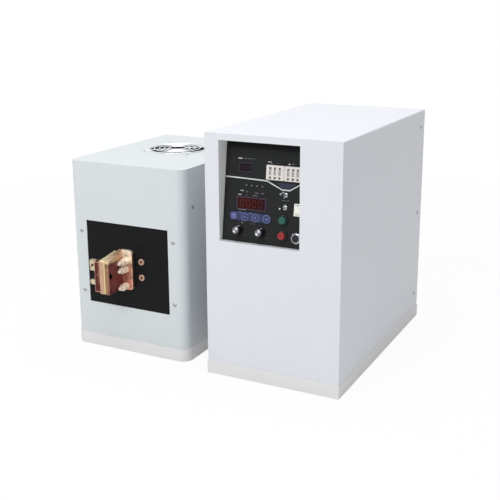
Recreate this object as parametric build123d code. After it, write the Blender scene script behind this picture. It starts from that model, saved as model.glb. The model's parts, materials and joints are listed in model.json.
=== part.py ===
from build123d import *
import math
import os

# Induction melting set for small gold and silver charges, two free-standing units side by side.
# Host: the power cabinet with a control panel sunk into its front.
# Head: the heating head with copper output terminals, coil water sockets and a fan in its top.
# Millimetres, +Z up, fronts face -Y. The origin lies on the floor under the middle of the outline box.

# ------------------------------------------------------------------ cabinets
host_width = 270.0
host_depth = 485.0
host_height = 470.0
head_width = 270.0
head_depth = 365.0
head_height = 390.0
unit_gap = 59.0          # clear space between the two units
head_setback = 18.0      # head front behind host front
sheet = 1.5              # steel sheet of every cover and panel
host_bend = 3.0          # outer bend radius along the host's top edges
head_corner = 20.0       # outer radius of the head's vertical front corners
plinth_height = 25.0
plinth_proud = 1.5       # how far each plinth skirt stands outside its cover
plinth_floor = 2.0
return_depth = 12.0      # folded edges of the front, rear and top sheets
side_return = 34.0       # deeper folded sides of the host rear panel, which take the side screws

# ------------------------------------------------------------------ clearances
fit_gap = 0.3            # round what drops into a cut-out, and beside what slides
shaft_gap = 0.05         # radial, round a turning shaft
hole_gap = 0.2           # radial, round a screw shank or a threaded barrel

# ------------------------------------------------------------------ recess and control panel
recess_left = 29.0
recess_width = 161.5
recess_bottom = 269.0
recess_height = 188.5
recess_top_depth = 34.5
recess_bottom_depth = 10.0
panel_plate = 2.0
panel_margin = 8.0       # hidden edge of the panel round the recess
panel_tilt = math.degrees(math.atan2(recess_top_depth - recess_bottom_depth, recess_height))
panel_length = math.hypot(recess_top_depth - recess_bottom_depth, recess_height)

# ------------------------------------------------------------------ controls, at (u, v) on the panel face
small_display_at = (42.3, 137.9)
small_window = (24.0, 14.0)
main_display_at = (56.8, 72.5)
main_window = (56.0, 19.8)
display_rim = 2.4
display_proud = 1.4
display_glass_drop = 0.6
display_body_depth = 12.0

led_row = 105.8
led_first = 45.1
led_pitch = 10.8
led_count = 4
led_radius = 1.5
led_body = 6.0

keypad_at = (56.3, 47.6)
keypad_size = (84.5, 16.4)
keypad_thickness = 2.0
key_first = 22.9
key_pitch = 22.3
key_count = 4
key_radius = 6.2
first_key = (12.4, 13.2)     # the first key is a rounded square
first_key_corner = 3.0
key_proud = 0.7
key_travel = 0.6
key_stop = 0.3           # air left under a key at the end of its travel

wheel_banks = (102.5, 138.0)
wheel_row = 133.2
wheel_pitch = 9.3
wheels_per_bank = 3
wheel_radius = 12.2
wheel_width = 7.0
wheel_teeth = 10
wheel_depth = 8.5        # wheel centre behind the panel face
bank_width = 35.0
bank_height = 27.0
bank_proud = 4.5
bank_corner = 1.6
thumb_slot = (4.8, 14.0)
thumb_slot_lift = 2.5    # slot centre above the wheel centre
digit_window = (4.4, 4.0)
digit_window_drop = 9.3  # window centre below the wheel centre
bank_axle_radius = 1.5

knob_row = 22.8
knob_columns = (34.3, 80.1)
knob_radius = 9.0
knob_top_radius = 7.9
knob_height = 15.0
knob_float = 0.5         # air between knob and panel
knob_flutes = 16
knob_flute_radius = 0.9
knob_cap_radius = 6.0
knob_cap_thickness = 1.2
pot_shaft_radius = 3.0
pot_bushing_radius = 4.6
pot_bushing_height = 5.0
pot_nut_flats = 12.0
pot_nut_height = 2.0
pot_body_radius = 8.2
pot_body_depth = 9.0

button_column = 122.9
start_row = 49.1
stop_row = 21.0
button_cap_radius = 7.0
button_cap_proud = 9.0
button_cap_inside = 4.5
button_edge = 1.5
button_travel = 3.0
button_rim_radius = 9.6
button_rim_height = 4.0
button_barrel_radius = 8.0
button_barrel_depth = 24.0
button_nut_flats = 20.0
button_nut_height = 4.0
contact_block = (17.0, 17.0, 20.0)

toggle_column = 125.2
toggle_rows = (94.9, 72.2)
toggle_throws = (1, 0)      # at rest the upper lever is up and the lower one is in the middle
toggle_tilt = 9.0          # levers off their middle position at rest
toggle_length = 22.0
toggle_pivot = 3.5       # pivot in front of the panel face
toggle_ball_radius = 1.9
toggle_bore_radius = 2.05
toggle_bushing_radius = 3.0
toggle_bushing_height = 5.5
toggle_nut_flats = 8.0
toggle_nut_height = 2.0
toggle_body = (8.0, 13.0, 10.0)

rocker_at = (150.1, 70.2)
rocker_bezel = (15.0, 22.4)
rocker_bezel_proud = 2.0
rocker_opening = (10.8, 17.8)
rocker_body = (13.0, 19.0, 14.0)
rocker_radius = 8.0
rocker_pivot = 1.0       # pivot behind the panel face
rocker_tilt = 7.0        # either side of the middle, rest is one of them
rocker_valley = 2.6      # lowest point of the paddle above its pivot

socket_at = (150.6, 19.2)
socket_flats = 19.0
socket_sides = 8
socket_nut_height = 3.0
socket_collar_radius = 8.6
socket_collar_height = 6.0
socket_bore_radius = 7.0
socket_barrel_depth = 14.0
socket_insert_drop = 1.6
socket_pins = 5
socket_pin_circle = 3.9
socket_pin_radius = 0.8

# ------------------------------------------------------------------ head front
window_left = 37.8
window_width = 194.4
window_bottom = 95.0
window_height = 174.0
bakelite_thickness = 10.0
bakelite_left = 20.5
bakelite_over = 10.0     # hidden edge above and below the window
front_screw_inset = 25.5
front_screw_rows = (118.3, 245.5)
side_screws = ((34.0, 312.0), (98.0, 130.0))   # (back from the front, up) on each side of the head

# ------------------------------------------------------------------ copper terminals, in head coordinates
terminal_middle = 113.6
terminal_split = 2.4     # insulation between the two plates
terminal_plate = 10.0
terminal_reach = 50.0    # in front of the head's front sheet
terminal_bottom = 135.5
terminal_centre = 172.75   # clamp hole, inner bars and core
terminal_front_top = 203.5   # the plates' top edges rise from here towards the head
left_terminal_top = 212.0    # at the head
right_terminal_top = 217.0
terminal_round = 4.0       # front top edges of the plates
flange_width = 24.8
flange_thickness = 6.0
flange_rise = 1.0         # flange above the plate
flange_bolt_offset = 9.0  # bolt column outside the plate
flange_radius = 7.0
clamp_width = 13.5
clamp_reach = 49.0
clamp_low = 2.5           # clamp block's foot above the plates' bottom
clamp_drop = 4.5         # clamp block's top below the plates' top
clamp_hole_radius = 4.2
clamp_hole_inset = 6.8  # hole centre behind the front edge of the plates
grub_hole_radius = 3.0   # tapped hole that meets the clamp hole from the front
grub_hole_offset = 5.3    # from the left plate
lug_width = 13.5
lug_thickness = 7.0
upper_lug_height = 22.4
upper_lug_top = 202.4
lower_lug_height = 9.7
lower_lug_top = 160.7
lug_hole_radius = 3.2
lug_corner = 2.5
lug_lap = 2.0             # lug let into the clamp block
lug_setback = 4.0        # lug front behind the clamp block's front
inner_height = 40.0      # terminal bars inside the head
inner_step = 38.0        # where the bars part, behind the front sheet
inner_reach = 122.0
flange_bolt_rows = (-29.5, 6.0, 22.0)   # from the middle of the plate
bolt_flats = 13.0
bolt_head = 6.5
bolt_nut = 6.5            # lock nut on the stud in front of the head
bolt_end_radius = 3.6
bolt_end = 23.5           # tip of the stud in front of the flange
bolt_washer_radius = 7.4
bolt_washer = 1.6
bolt_shank_radius = 4.0
bolt_shank = 22.0

# ------------------------------------------------------------------ coil water sockets on the head
coil_socket_column = 168.6
coil_socket_rows = (196.3, 163.7)
coil_socket_radius = 5.6
coil_socket_proud = 3.2
coil_socket_ring = 6.4      # radius of the collar in front of the panel
coil_socket_bore = 4.0
coil_socket_inside = 14.0

# ------------------------------------------------------------------ fan in the head's top
fan_at = (134.0, 203.0)
fan_side = 120.0
fan_depth = 38.0
fan_corner = 8.0
fan_bore_radius = 58.0
fan_opening_radius = 59.0
fan_pitch = 105.0        # between the fan's screw holes
fan_flange = 5.0
fan_hub_radius = 32.0
fan_hub_wall = 2.0
fan_hub_height = 26.0
fan_hub_drop = 6.0       # hub top below the fan frame's top
fan_motor_radius = 27.0
fan_motor_height = 20.0
fan_base = 3.0
fan_struts = 4
fan_strut_width = 6.0
fan_blades = 7
fan_blade_gap = 1.5      # blade tip to bore
fan_blade_thickness = 1.6
fan_shaft_radius = 2.5
guard_wire = 1.0         # wire radius of the rings
guard_spoke = 0.9
guard_rings = (18.0, 28.5, 39.0, 49.5, 62.0)
guard_lift = 2.6         # ring centres above the top sheet
guard_outer_lift = 1.6   # centre of the outermost ring above the top sheet
guard_bend = 58.0        # where the spokes come down to the top sheet
guard_seam = 33.0        # butt weld of each ring, turned clear of the spokes
guard_spokes = 4
guard_eye_radius = 4.2

# ------------------------------------------------------------------ screws and rear fittings
screw_radius = 1.9
screw_length = 8.0
screw_head_radius = 3.9
screw_head = 2.0
host_side_screw_rows = (60.0, 247.0, 434.0)
side_screw_inset = 26.0  # from the host's rear

gland_flats = 24.0
gland_hex = 6.0
gland_dome_radius = 10.5
gland_dome = 13.0
gland_bore_radius = 6.0
gland_thread_radius = 10.0
gland_nut = 4.0

nipple_flats = 17.0
nipple_hex = 6.0
nipple_tail_radius = 5.0
nipple_tail = 22.0
nipple_plain = 8.0         # smooth seat of the hose clip, next to the hexagon
nipple_groove = 0.8
nipple_barbs = 3
nipple_root_radius = 4.3
nipple_bore_radius = 3.2
nipple_thread_radius = 6.5
nipple_nut = 5.0

stud_radius = 3.0
stud_reach = 16.0
stud_washer_radius = 7.0
stud_washer = 1.6
stud_nut_flats = 10.0
stud_nut_top = 6.6

host_glands = ((60.0, 70.0), (120.0, 70.0))       # (from the left, up) on the host's rear
host_nipples = ((175.0, 70.0), (215.0, 70.0))
host_stud = (30.0, 45.0)
head_glands = ((70.0, 60.0),)
head_nipples = ((150.0, 60.0), (190.0, 60.0))
head_stud = (35.0, 45.0)
louvre_width = 80.0
louvre_hood = 4.0
louvre_pitch = 14.0
louvre_rows = 8
louvre_columns = 2
louvre_gap = 18.0        # between the two columns
host_louvre_bottom = 270.0
head_louvre_bottom = 180.0

# ------------------------------------------------------------------ inside the units
sink_left = 95.0
sink_front = 200.0
sink_length = 220.0
sink_height = 200.0
sink_base = 10.0
sink_fin_length = 30.0
sink_fin = 2.5
sink_fins = 12
module_size = (30.0, 106.0, 62.0)
module_rows = (60.0, 140.0)
module_tab = 5.0
bus_capacitor_radius = 32.0
bus_capacitor_height = 105.0
bus_capacitor_at = (52.0, 80.0)
bus_capacitor_pitch = 72.0
bus_capacitors_count = 3
board_size = (1.6, 190.0, 120.0)
board_at = (110.0, host_height - 180.0)   # (from the front, up) of its lower front corner
board_standoff = 10.0
board_standoff_radius = 3.0
board_standoff_inset = 8.0
board_parts = (                  # along, up, width, height and depth of the large parts on it
    (30.0, 30.0, 40.0, 34.0, 26.0),
    (95.0, 26.0, 28.0, 20.0, 14.0),
    (140.0, 80.0, 22.0, 22.0, 18.0),
)

core_width = 170.0
core_height = 150.0
core_depth = 50.0
core_limb = 36.0
core_side = 20.0
core_yoke = 22.0
core_front = 55.0
coil_wall = 17.0
coil_height = 26.0
coil_gap = 0.5
tank_capacitor = (56.0, 70.0, 110.0)
tank_capacitor_pitch = 66.0
tank_capacitor_front = 190.0
tank_capacitor_left = 40.0
tank_capacitors = 3
tank_stud_radius = 5.0
tank_stud = 12.0

# ------------------------------------------------------------------ frame of the whole set
outline_left = -(unit_gap + head_width + plinth_proud)
outline_right = host_width + plinth_proud
outline_front = head_setback - terminal_reach
rear_reach = nipple_hex + nipple_tail
outline_rear = host_depth + rear_reach
host_x = -(outline_left + outline_right) / 2
host_y = -(outline_front + outline_rear) / 2
head_x = host_x - unit_gap - head_width
head_y = host_y + head_setback
host_at = Pos(host_x, host_y, 0)
head_at = Pos(head_x, head_y, 0)

tilt = math.radians(panel_tilt)
panel_face = Plane(
    origin=(recess_left, recess_bottom_depth, recess_bottom),
    x_dir=(1, 0, 0),
    z_dir=(0, -math.cos(tilt), math.sin(tilt)),
)
rear_facing = Rot(-90, 0, 0)     # turns +Z to +Y
front_facing = Rot(90, 0, 0)     # turns +Z to -Y
right_facing = Rot(0, 90, 0)     # turns +Z to +X
left_facing = Rot(0, -90, 0)     # turns +Z to -X
rising = (Align.CENTER, Align.CENTER, Align.MIN)
sinking = (Align.CENTER, Align.CENTER, Align.MAX)


def block(low, high):
    """A block between two opposite corners."""
    size = [b - a for a, b in zip(low, high)]
    middle = [(a + b) / 2 for a, b in zip(low, high)]
    return Pos(*middle) * Box(*size)


def post(radius, bottom, top):
    """A cylinder on the Z axis between two heights."""
    return Pos(0, 0, bottom) * Cylinder(radius, top - bottom, align=rising)


def hexagon(flats, bottom, top, sides=6):
    """A nut blank on the Z axis, given across its flats."""
    corner = flats / 2 / math.cos(math.pi / sides)
    return Pos(0, 0, bottom) * extrude(RegularPolygon(corner, sides), top - bottom)


def pad(size, radius, bottom, top):
    """A rounded rectangular plate on the Z axis."""
    return Pos(0, 0, bottom) * extrude(RectangleRounded(size[0], size[1], radius), top - bottom)


def turned(points):
    """A solid turned about Z from a closed (radius, height) outline."""
    return revolve(make_face(Plane.XZ * Polyline(*points, close=True)), Axis.Z)


def on_panel(shape, at, out=0.0):
    """Place a shape drawn about the panel's own Z axis at (u, v) on the tilted face of the host."""
    return host_at * panel_face.location * Pos(at[0], at[1], out) * shape


def side_by_side(shapes):
    """Keep separate solids together as one node."""
    return Compound(children=[solid for shape in shapes for solid in shape.solids()])


def key_column(index):
    return key_first + index * key_pitch


def wheel_column(bank, index):
    return wheel_banks[bank] + (index - (wheels_per_bank - 1) / 2) * wheel_pitch


# ================================================================== cabinet shells
def footprint(width, depth, front_radius, rear_radius, grow=0.0):
    """Plan outline of a unit with its front left corner at the origin."""
    outline = Pos(width / 2, depth / 2) * Rectangle(width + 2 * grow, depth + 2 * grow)
    front = outline.vertices().sort_by(Axis.Y)[:2]
    if front_radius + grow > 0:
        outline = fillet(front, front_radius + grow)
    rear = outline.vertices().sort_by(Axis.Y)[-2:]
    if rear_radius + grow > 0:
        outline = fillet(rear, rear_radius + grow)
    return outline


def plinth(width, depth, front_radius):
    """Pressed tray whose skirt wraps the foot of a cover."""
    skirt = extrude(footprint(width, depth, front_radius, 0.0, plinth_proud), plinth_height)
    pocket = extrude(footprint(width, depth, front_radius, 0.0), plinth_height)
    tray = skirt - Pos(0, 0, plinth_floor) * pocket
    rim = tray.edges().filter_by_position(Axis.Z, plinth_height, plinth_height)
    outer = [edge for edge in rim if not lies_inside(edge, width, depth)]
    return fillet(outer, plinth_proud / 2)


def lies_inside(edge, width, depth):
    """True for an edge of the tray's pocket rather than of its outer skirt."""
    middle = edge @ 0.5
    slack = plinth_proud / 2
    across = -slack < middle.X < width + slack
    along = -slack < middle.Y < depth + slack
    return across and along and edge.length < 2 * (width + depth)


def host_side_screw_points():
    return [(host_depth - side_screw_inset, row) for row in host_side_screw_rows]


def side_holes(points, width):
    """Cutters through both side sheets at (back, up) points."""
    radius = screw_radius + hole_gap
    cutters = []
    for back, up in points:
        cutter = Pos(-1, back, up) * right_facing * post(radius, 0, width + 2)
        cutters.append(cutter)
    return cutters


def make_host_cover():
    """Folded sheet over both sides and the top."""
    tall = host_height - plinth_floor
    outer = Pos(host_width / 2, tall / 2) * Rectangle(host_width, tall)
    outer = fillet(outer.vertices().sort_by(Axis.Y)[-2:], host_bend)
    inner = Pos(host_width / 2, (tall - sheet) / 2) * Rectangle(host_width - 2 * sheet, tall - sheet)
    inner = fillet(inner.vertices().sort_by(Axis.Y)[-2:], host_bend - sheet)
    cover = extrude(Plane.XZ * (outer - inner), -host_depth)
    for cutter in side_holes(host_side_screw_points(), host_width):
        cover -= Pos(0, 0, -plinth_floor) * cutter
    return Pos(0, 0, plinth_floor) * cover


def folded_pan(width, height, radius):
    """Shallow pan facing -Y: a face of one sheet with folded edges, on the X and Z axes."""
    outline = Pos(width / 2, height / 2) * Rectangle(width, height)
    hollow = Pos(width / 2, height / 2) * Rectangle(width - 2 * sheet, height - 2 * sheet)
    if radius > 0:
        outline = fillet(outline.vertices().sort_by(Axis.Y)[-2:], radius)
        hollow = fillet(hollow.vertices().sort_by(Axis.Y)[-2:], max(radius - sheet, 0.1))
    solid = extrude(Plane.XZ * outline, -return_depth)
    pocket = extrude(Plane.XZ * hollow, -return_depth)
    return solid - Pos(0, sheet, 0) * pocket


def make_host_front_panel():
    """Front sheet with the tapered jambs, head and sill of the panel recess."""
    wide = host_width - 2 * sheet
    tall = host_height - sheet - plinth_floor
    pan = Pos(sheet, 0, plinth_floor) * folded_pan(wide, tall, host_bend - sheet)
    low = (recess_left, -1, recess_bottom)
    deep = recess_top_depth + 2 * panel_plate
    high = (recess_left + recess_width, deep, recess_bottom + recess_height)
    opening = block(low, high)
    ring = block(
        (recess_left - sheet, 0, recess_bottom - sheet),
        (recess_left + recess_width + sheet, deep - 1, recess_bottom + recess_height + sheet),
    )
    behind = panel_face.location * Box(2 * host_width, 2 * host_height, 2 * deep, align=sinking)
    return pan + (ring - behind) - opening


def louvre_points(width, bottom):
    """Centres of the louvres across a rear panel, in columns beside its middle."""
    step = louvre_width + louvre_gap
    first = width / 2 - (louvre_columns - 1) * step / 2
    return [
        (first + column * step, bottom + row * louvre_pitch)
        for column in range(louvre_columns)
        for row in range(louvre_rows)
    ]


def rear_panel(width, depth, height, bend, side_depth, louvres, round_holes):
    """Rear sheet with folded sides and top, pressed louvres and fitting holes."""
    inside = width - 2 * sheet
    tall = height - plinth_floor
    outline = Pos(inside / 2, tall / 2) * Rectangle(inside, tall)
    if bend > 0:
        outline = fillet(outline.vertices().sort_by(Axis.Y)[-2:], bend)
    pan = extrude(Plane.XZ * outline, side_depth)
    pan -= block((sheet, -side_depth - 1, -1), (inside - sheet, -sheet, tall - sheet))
    pan -= block((sheet, -side_depth - 1, -1), (inside - sheet, -return_depth, tall + 1))
    panel = Pos(sheet, depth, plinth_floor) * pan
    hood_arc = louvre_hood
    for across, up in louvre_points(width, louvres):
        hood = Pos(across, depth, up) * right_facing * Cylinder(hood_arc, louvre_width)
        hood &= block((0, depth, up), (width, depth + hood_arc + 1, up + hood_arc + 1))
        panel += hood
        throat = Pos(across, depth, up) * right_facing * Cylinder(
            hood_arc - sheet / 2, louvre_width - sheet
        )
        throat &= block((0, depth - sheet - 1, up), (width, depth + hood_arc, up + hood_arc))
        slot = block(
            (across - (louvre_width - sheet) / 2, depth - sheet - 1, up),
            (across + (louvre_width - sheet) / 2, depth, up + hood_arc - sheet / 2),
        )
        panel = panel - throat - slot
    for (across, up), radius in round_holes:
        panel -= Pos(across, depth + 1, up) * front_facing * post(radius, 0, sheet + 2)
    return panel


def fitting_holes(glands, nipples, stud):
    """(point, radius) of every round hole in a rear panel."""
    holes = [(point, gland_thread_radius + hole_gap) for point in glands]
    holes += [(point, nipple_thread_radius + hole_gap) for point in nipples]
    holes.append((stud, stud_radius + hole_gap))
    return holes


def make_host_rear_panel():
    holes = fitting_holes(host_glands, host_nipples, host_stud)
    height = host_height - sheet
    bend = host_bend - sheet
    panel = rear_panel(
        host_width, host_depth, height, bend, side_return, host_louvre_bottom, holes
    )
    for cutter in side_holes(host_side_screw_points(), host_width):
        panel -= cutter
    return panel


def make_head_wrap():
    """Front and both sides of the head in one sheet, rolled round the front corners."""
    tall = head_height - sheet - plinth_floor
    outer = footprint(head_width, head_depth, head_corner, 0.0)
    inner = Pos(sheet, sheet) * footprint(
        head_width - 2 * sheet, head_depth, head_corner - sheet, 0.0
    )
    wrap = Pos(0, 0, plinth_floor) * extrude(outer - inner, tall)
    wrap -= block(
        (window_left, -1, window_bottom),
        (window_left + window_width, sheet + 1, window_bottom + window_height),
    )
    for across, up in front_screw_points():
        wrap -= Pos(across, -1, up) * rear_facing * post(screw_radius + hole_gap, 0, sheet + 2)
    for cutter in side_holes(side_screws, head_width):
        wrap -= cutter
    return wrap


def front_screw_points():
    columns = (front_screw_inset, head_width - front_screw_inset)
    return [(column, row) for column in columns for row in front_screw_rows]


def fan_screw_points():
    reach = fan_pitch / 2
    return [(fan_at[0] + i * reach, fan_at[1] + j * reach) for i in (-1, 1) for j in (-1, 1)]


def make_head_top_plate():
    """Lid with the fan opening and a folded lip inside the wrap."""
    lid = extrude(footprint(head_width, head_depth, head_corner, 0.0), sheet)
    lip_length = head_depth - 2 * return_depth
    outer = Pos(sheet, sheet) * footprint(
        head_width - 2 * sheet, lip_length, head_corner - sheet, 0.0
    )
    inner = Pos(2 * sheet, 2 * sheet) * footprint(
        head_width - 4 * sheet, lip_length, head_corner - 2 * sheet, 0.0
    )
    lip = Pos(0, 0, -return_depth) * extrude(outer - inner, return_depth)
    lid += lip
    lid -= Pos(fan_at[0], fan_at[1], 0) * post(fan_opening_radius, -1, sheet + 1)
    for across, back in fan_screw_points():
        lid -= Pos(across, back, 0) * post(screw_radius + hole_gap, -1, sheet + 1)
    return Pos(0, 0, head_height - sheet) * lid


def make_head_rear_panel():
    holes = fitting_holes(head_glands, head_nipples, head_stud)
    height = head_height - sheet
    return rear_panel(
        head_width, head_depth, height, 0.0, return_depth, head_louvre_bottom, holes
    )


# ================================================================== control panel and its parts
def display_body(window):
    return (window[0] + display_rim, window[1] + display_rim)


def make_control_panel():
    """Tilted plate behind the recess with a cut-out for each control."""
    plate = block(
        (-panel_margin, -panel_margin, -panel_plate),
        (recess_width + panel_margin, panel_length + panel_margin, 0),
    )
    cutters = []
    for at, window in ((small_display_at, small_window), (main_display_at, main_window)):
        wide, tall = display_body(window)
        cutters.append((at, Box(wide + 2 * fit_gap, tall + 2 * fit_gap, 3 * panel_plate)))
    for index in range(led_count):
        hole = Cylinder(led_radius + hole_gap, 3 * panel_plate)
        cutters.append(((led_first + index * led_pitch, led_row), hole))
    inner = bank_inner()
    for column in wheel_banks:
        hole = Box(inner[0] + 2 * fit_gap, inner[1] + 2 * fit_gap, 3 * panel_plate)
        cutters.append(((column, wheel_row), hole))
    for column in knob_columns:
        hole = Cylinder(pot_bushing_radius + hole_gap, 3 * panel_plate)
        cutters.append(((column, knob_row), hole))
    for row in (start_row, stop_row):
        hole = Cylinder(button_barrel_radius + hole_gap, 3 * panel_plate)
        cutters.append(((button_column, row), hole))
    for row in toggle_rows:
        hole = Cylinder(toggle_bushing_radius + hole_gap, 3 * panel_plate)
        cutters.append(((toggle_column, row), hole))
    wide, tall = rocker_body[0] + 2 * fit_gap, rocker_body[1] + 2 * fit_gap
    cutters.append((rocker_at, Box(wide, tall, 3 * panel_plate)))
    cutters.append((socket_at, Cylinder(socket_barrel_radius() + hole_gap, 3 * panel_plate)))
    for at, cutter in cutters:
        plate -= Pos(at[0], at[1], 0) * cutter
    return on_panel(plate, (0, 0))


def display_module(window):
    """Bezel on the panel face, sunk window and the housing behind the panel."""
    bezel = pad((window[0] + 2 * display_rim, window[1] + 2 * display_rim), 1.0, 0, display_proud)
    bezel = chamfer(bezel.faces().sort_by(Axis.Z)[-1].edges(), 0.5)
    wide, tall = display_body(window)
    housing = block((-wide / 2, -tall / 2, -display_body_depth), (wide / 2, tall / 2, 0))
    sunk = display_proud - display_glass_drop
    window_cut = block((-window[0] / 2, -window[1] / 2, sunk), (window[0] / 2, window[1] / 2, 5))
    return bezel + housing - window_cut


def make_indicator_leds():
    lens = turned([
        (0, -led_body),
        (led_radius, -led_body),
        (led_radius, 0.6),
        (led_radius * 0.75, 1.3),
        (0, 1.6),
    ])
    rows = [(led_first + index * led_pitch, led_row) for index in range(led_count)]
    return side_by_side([on_panel(lens, at) for at in rows])


def make_keypad_strip():
    strip = pad(keypad_size, keypad_size[1] / 2 - 1, 0, keypad_thickness)
    strip = chamfer(strip.faces().sort_by(Axis.Z)[-1].edges(), 0.5)
    for index in range(key_count):
        well = extrude(key_outline(index, fit_gap), 3 * keypad_thickness, both=True)
        strip -= Pos(key_column(index) - keypad_at[0], 0, 0) * well
    return on_panel(strip, keypad_at)


def key_outline(index, grow=0.0):
    """Plan of a key: a rounded square first, then round ones."""
    if index > 0:
        return Circle(key_radius + grow)
    return RectangleRounded(first_key[0] + 2 * grow, first_key[1] + 2 * grow, first_key_corner + grow)


def make_key(index):
    """Push key with a softened rim, floating over the panel on its dome spring."""
    top = keypad_thickness + key_proud
    foot = key_travel + key_stop
    key = Pos(0, 0, foot) * extrude(key_outline(index), top - foot)
    key = fillet(key.faces().sort_by(Axis.Z)[-1].edges(), 0.4)
    return on_panel(key, (key_column(index), keypad_at[1]))


def bank_inner():
    """Width and height of a wheel bank where it passes through the panel."""
    return (bank_width - 2 * bank_corner, bank_height - 2 * fit_gap)


def make_thumbwheel_banks():
    """White housings, each with three thumb slots, three digit windows and the wheels' axle."""
    banks = []
    wide, tall = bank_inner()
    back = wheel_depth + wheel_radius + 2
    pocket_radius = wheel_radius + fit_gap
    for bank in range(len(wheel_banks)):
        face = pad((bank_width, bank_height), bank_corner, 0, bank_proud)
        face = chamfer(face.faces().sort_by(Axis.Z)[-1].edges(), 0.6)
        housing = face + block((-wide / 2, -tall / 2, -back), (wide / 2, tall / 2, 0))
        for index in range(wheels_per_bank):
            across = wheel_column(bank, index) - wheel_banks[bank]
            pocket = Pos(across, 0, -wheel_depth) * right_facing * Cylinder(
                pocket_radius, wheel_width + 2 * hole_gap
            )
            slot = Pos(across, thumb_slot_lift, bank_proud) * Box(*thumb_slot, 2 * bank_proud)
            window = Pos(across, -digit_window_drop, bank_proud) * Box(
                *digit_window, 2 * bank_proud + 2 * wheel_radius / 3
            )
            housing -= pocket + slot + window
        axle = Pos(0, 0, -wheel_depth) * right_facing * Cylinder(bank_axle_radius, wide)
        banks.append(on_panel(housing + axle, (wheel_banks[bank], wheel_row)))
    return side_by_side(banks)


def make_thumbwheel(bank, index):
    """Toothed digit drum turning on the bank's axle."""
    drum = Cylinder(wheel_radius, wheel_width)
    notch_radius = wheel_radius * math.sin(math.pi / wheel_teeth) * 0.62
    for tooth in range(wheel_teeth):
        turn = Rot(0, 0, (tooth + 0.5) * 360 / wheel_teeth)
        drum -= turn * Pos(wheel_radius + notch_radius * 0.55, 0, 0) * Cylinder(
            notch_radius, wheel_width + 1
        )
    drum -= Cylinder(bank_axle_radius + shaft_gap, wheel_width + 1)
    wheel = Rot(0, 90, 0) * Rot(0, 0, 90) * drum
    return on_panel(wheel, (wheel_column(bank, index), wheel_row), -wheel_depth)


def make_knob(column):
    """Fluted control knob with a hollow underside and its own shaft."""
    bottom = knob_float
    top = knob_float + knob_height
    hollow_radius = pot_nut_flats / 2 / math.cos(math.pi / 6) + fit_gap
    hollow_top = pot_bushing_height + fit_gap
    shaft_end = -panel_plate - pot_body_depth + 1
    knob = turned([
        (0, shaft_end),
        (pot_shaft_radius, shaft_end),
        (pot_shaft_radius, hollow_top),
        (hollow_radius, hollow_top),
        (hollow_radius, bottom),
        (knob_radius, bottom),
        (knob_radius, bottom + 2.5),
        (knob_radius - 0.5, bottom + 3.2),
        (knob_top_radius, top - 0.8),
        (knob_top_radius - 0.8, top),
        (knob_cap_radius, top),
        (knob_cap_radius, top - knob_cap_thickness / 2),
        (0, top - knob_cap_thickness / 2),
    ])
    shoulder = (knob_radius - 0.5, bottom + 3.2)
    lean = math.degrees(math.atan2(shoulder[0] - knob_top_radius, top - 0.8 - shoulder[1]))
    groove = Rot(0, -lean, 0) * Cylinder(knob_flute_radius, 2 * knob_height, align=rising)
    for flute in range(knob_flutes):
        turn = Rot(0, 0, (flute + 0.5) * 360 / knob_flutes)
        knob -= turn * Pos(shoulder[0] + knob_flute_radius / 3, 0, shoulder[1] + 1) * groove
    return on_panel(knob, (column, knob_row))


def make_knob_cap(column):
    """Turned aluminium disc let into the top of a knob."""
    seat = knob_float + knob_height - knob_cap_thickness / 2
    cap = post(knob_cap_radius - hole_gap / 2, seat, seat + knob_cap_thickness)
    cap = chamfer(cap.faces().sort_by(Axis.Z)[-1].edges(), 0.4)
    return on_panel(cap, (column, knob_row))


def make_potentiometers():
    """Bodies, bushings and nuts behind the knobs, bored for the knob shafts."""
    bodies = []
    for column in knob_columns:
        body = post(pot_body_radius, -panel_plate - pot_body_depth, -panel_plate)
        body += post(pot_bushing_radius, -panel_plate, pot_bushing_height)
        body += hexagon(pot_nut_flats, 0, pot_nut_height)
        body += block((-5, -pot_body_radius - 5, -panel_plate - 5), (5, 0, -panel_plate - 3))
        body -= post(
            pot_shaft_radius + shaft_gap, -panel_plate - pot_body_depth + 0.5, pot_bushing_height + 1
        )
        bodies.append(on_panel(body, (column, knob_row)))
    return side_by_side(bodies)


def make_button_bodies():
    """Rims, barrels, nuts and contact blocks of the two pushbuttons."""
    bodies = []
    bore_radius = button_cap_radius + fit_gap
    bore_bottom = -(button_cap_inside + button_travel + 0.5)
    barrel_end = -button_barrel_depth
    for row in (start_row, stop_row):
        body = turned([
            (0, barrel_end),
            (button_barrel_radius, barrel_end),
            (button_barrel_radius, 0),
            (button_rim_radius, 0),
            (button_rim_radius, button_rim_height - 1.2),
            (button_rim_radius - 1.2, button_rim_height),
            (bore_radius, button_rim_height),
            (bore_radius, bore_bottom),
            (0, bore_bottom),
        ])
        nut_top = -panel_plate
        body += hexagon(button_nut_flats, nut_top - button_nut_height, nut_top)
        body -= post(bore_radius, bore_bottom, 0)
        wide, tall, deep = contact_block
        body += block((-wide / 2, -tall / 2, barrel_end - deep), (wide / 2, tall / 2, barrel_end))
        bodies.append(on_panel(body, (button_column, row)))
    return side_by_side(bodies)


def make_button_cap(row):
    """Push cap with a rolled edge, sliding in its barrel."""
    top = button_cap_proud - button_edge
    radius = button_cap_radius
    outline = Polyline((0, top), (0, -button_cap_inside), (radius, -button_cap_inside), (radius, top))
    shoulder = CenterArc((radius - button_edge, top), button_edge, 0, 90)
    crown = Line((radius - button_edge, button_cap_proud), (0, button_cap_proud))
    closing = Line((0, button_cap_proud), (0, top))
    profile = make_face(Plane.XZ * (outline + shoulder + crown + closing))
    return on_panel(revolve(profile, Axis.Z), (button_column, row))


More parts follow.
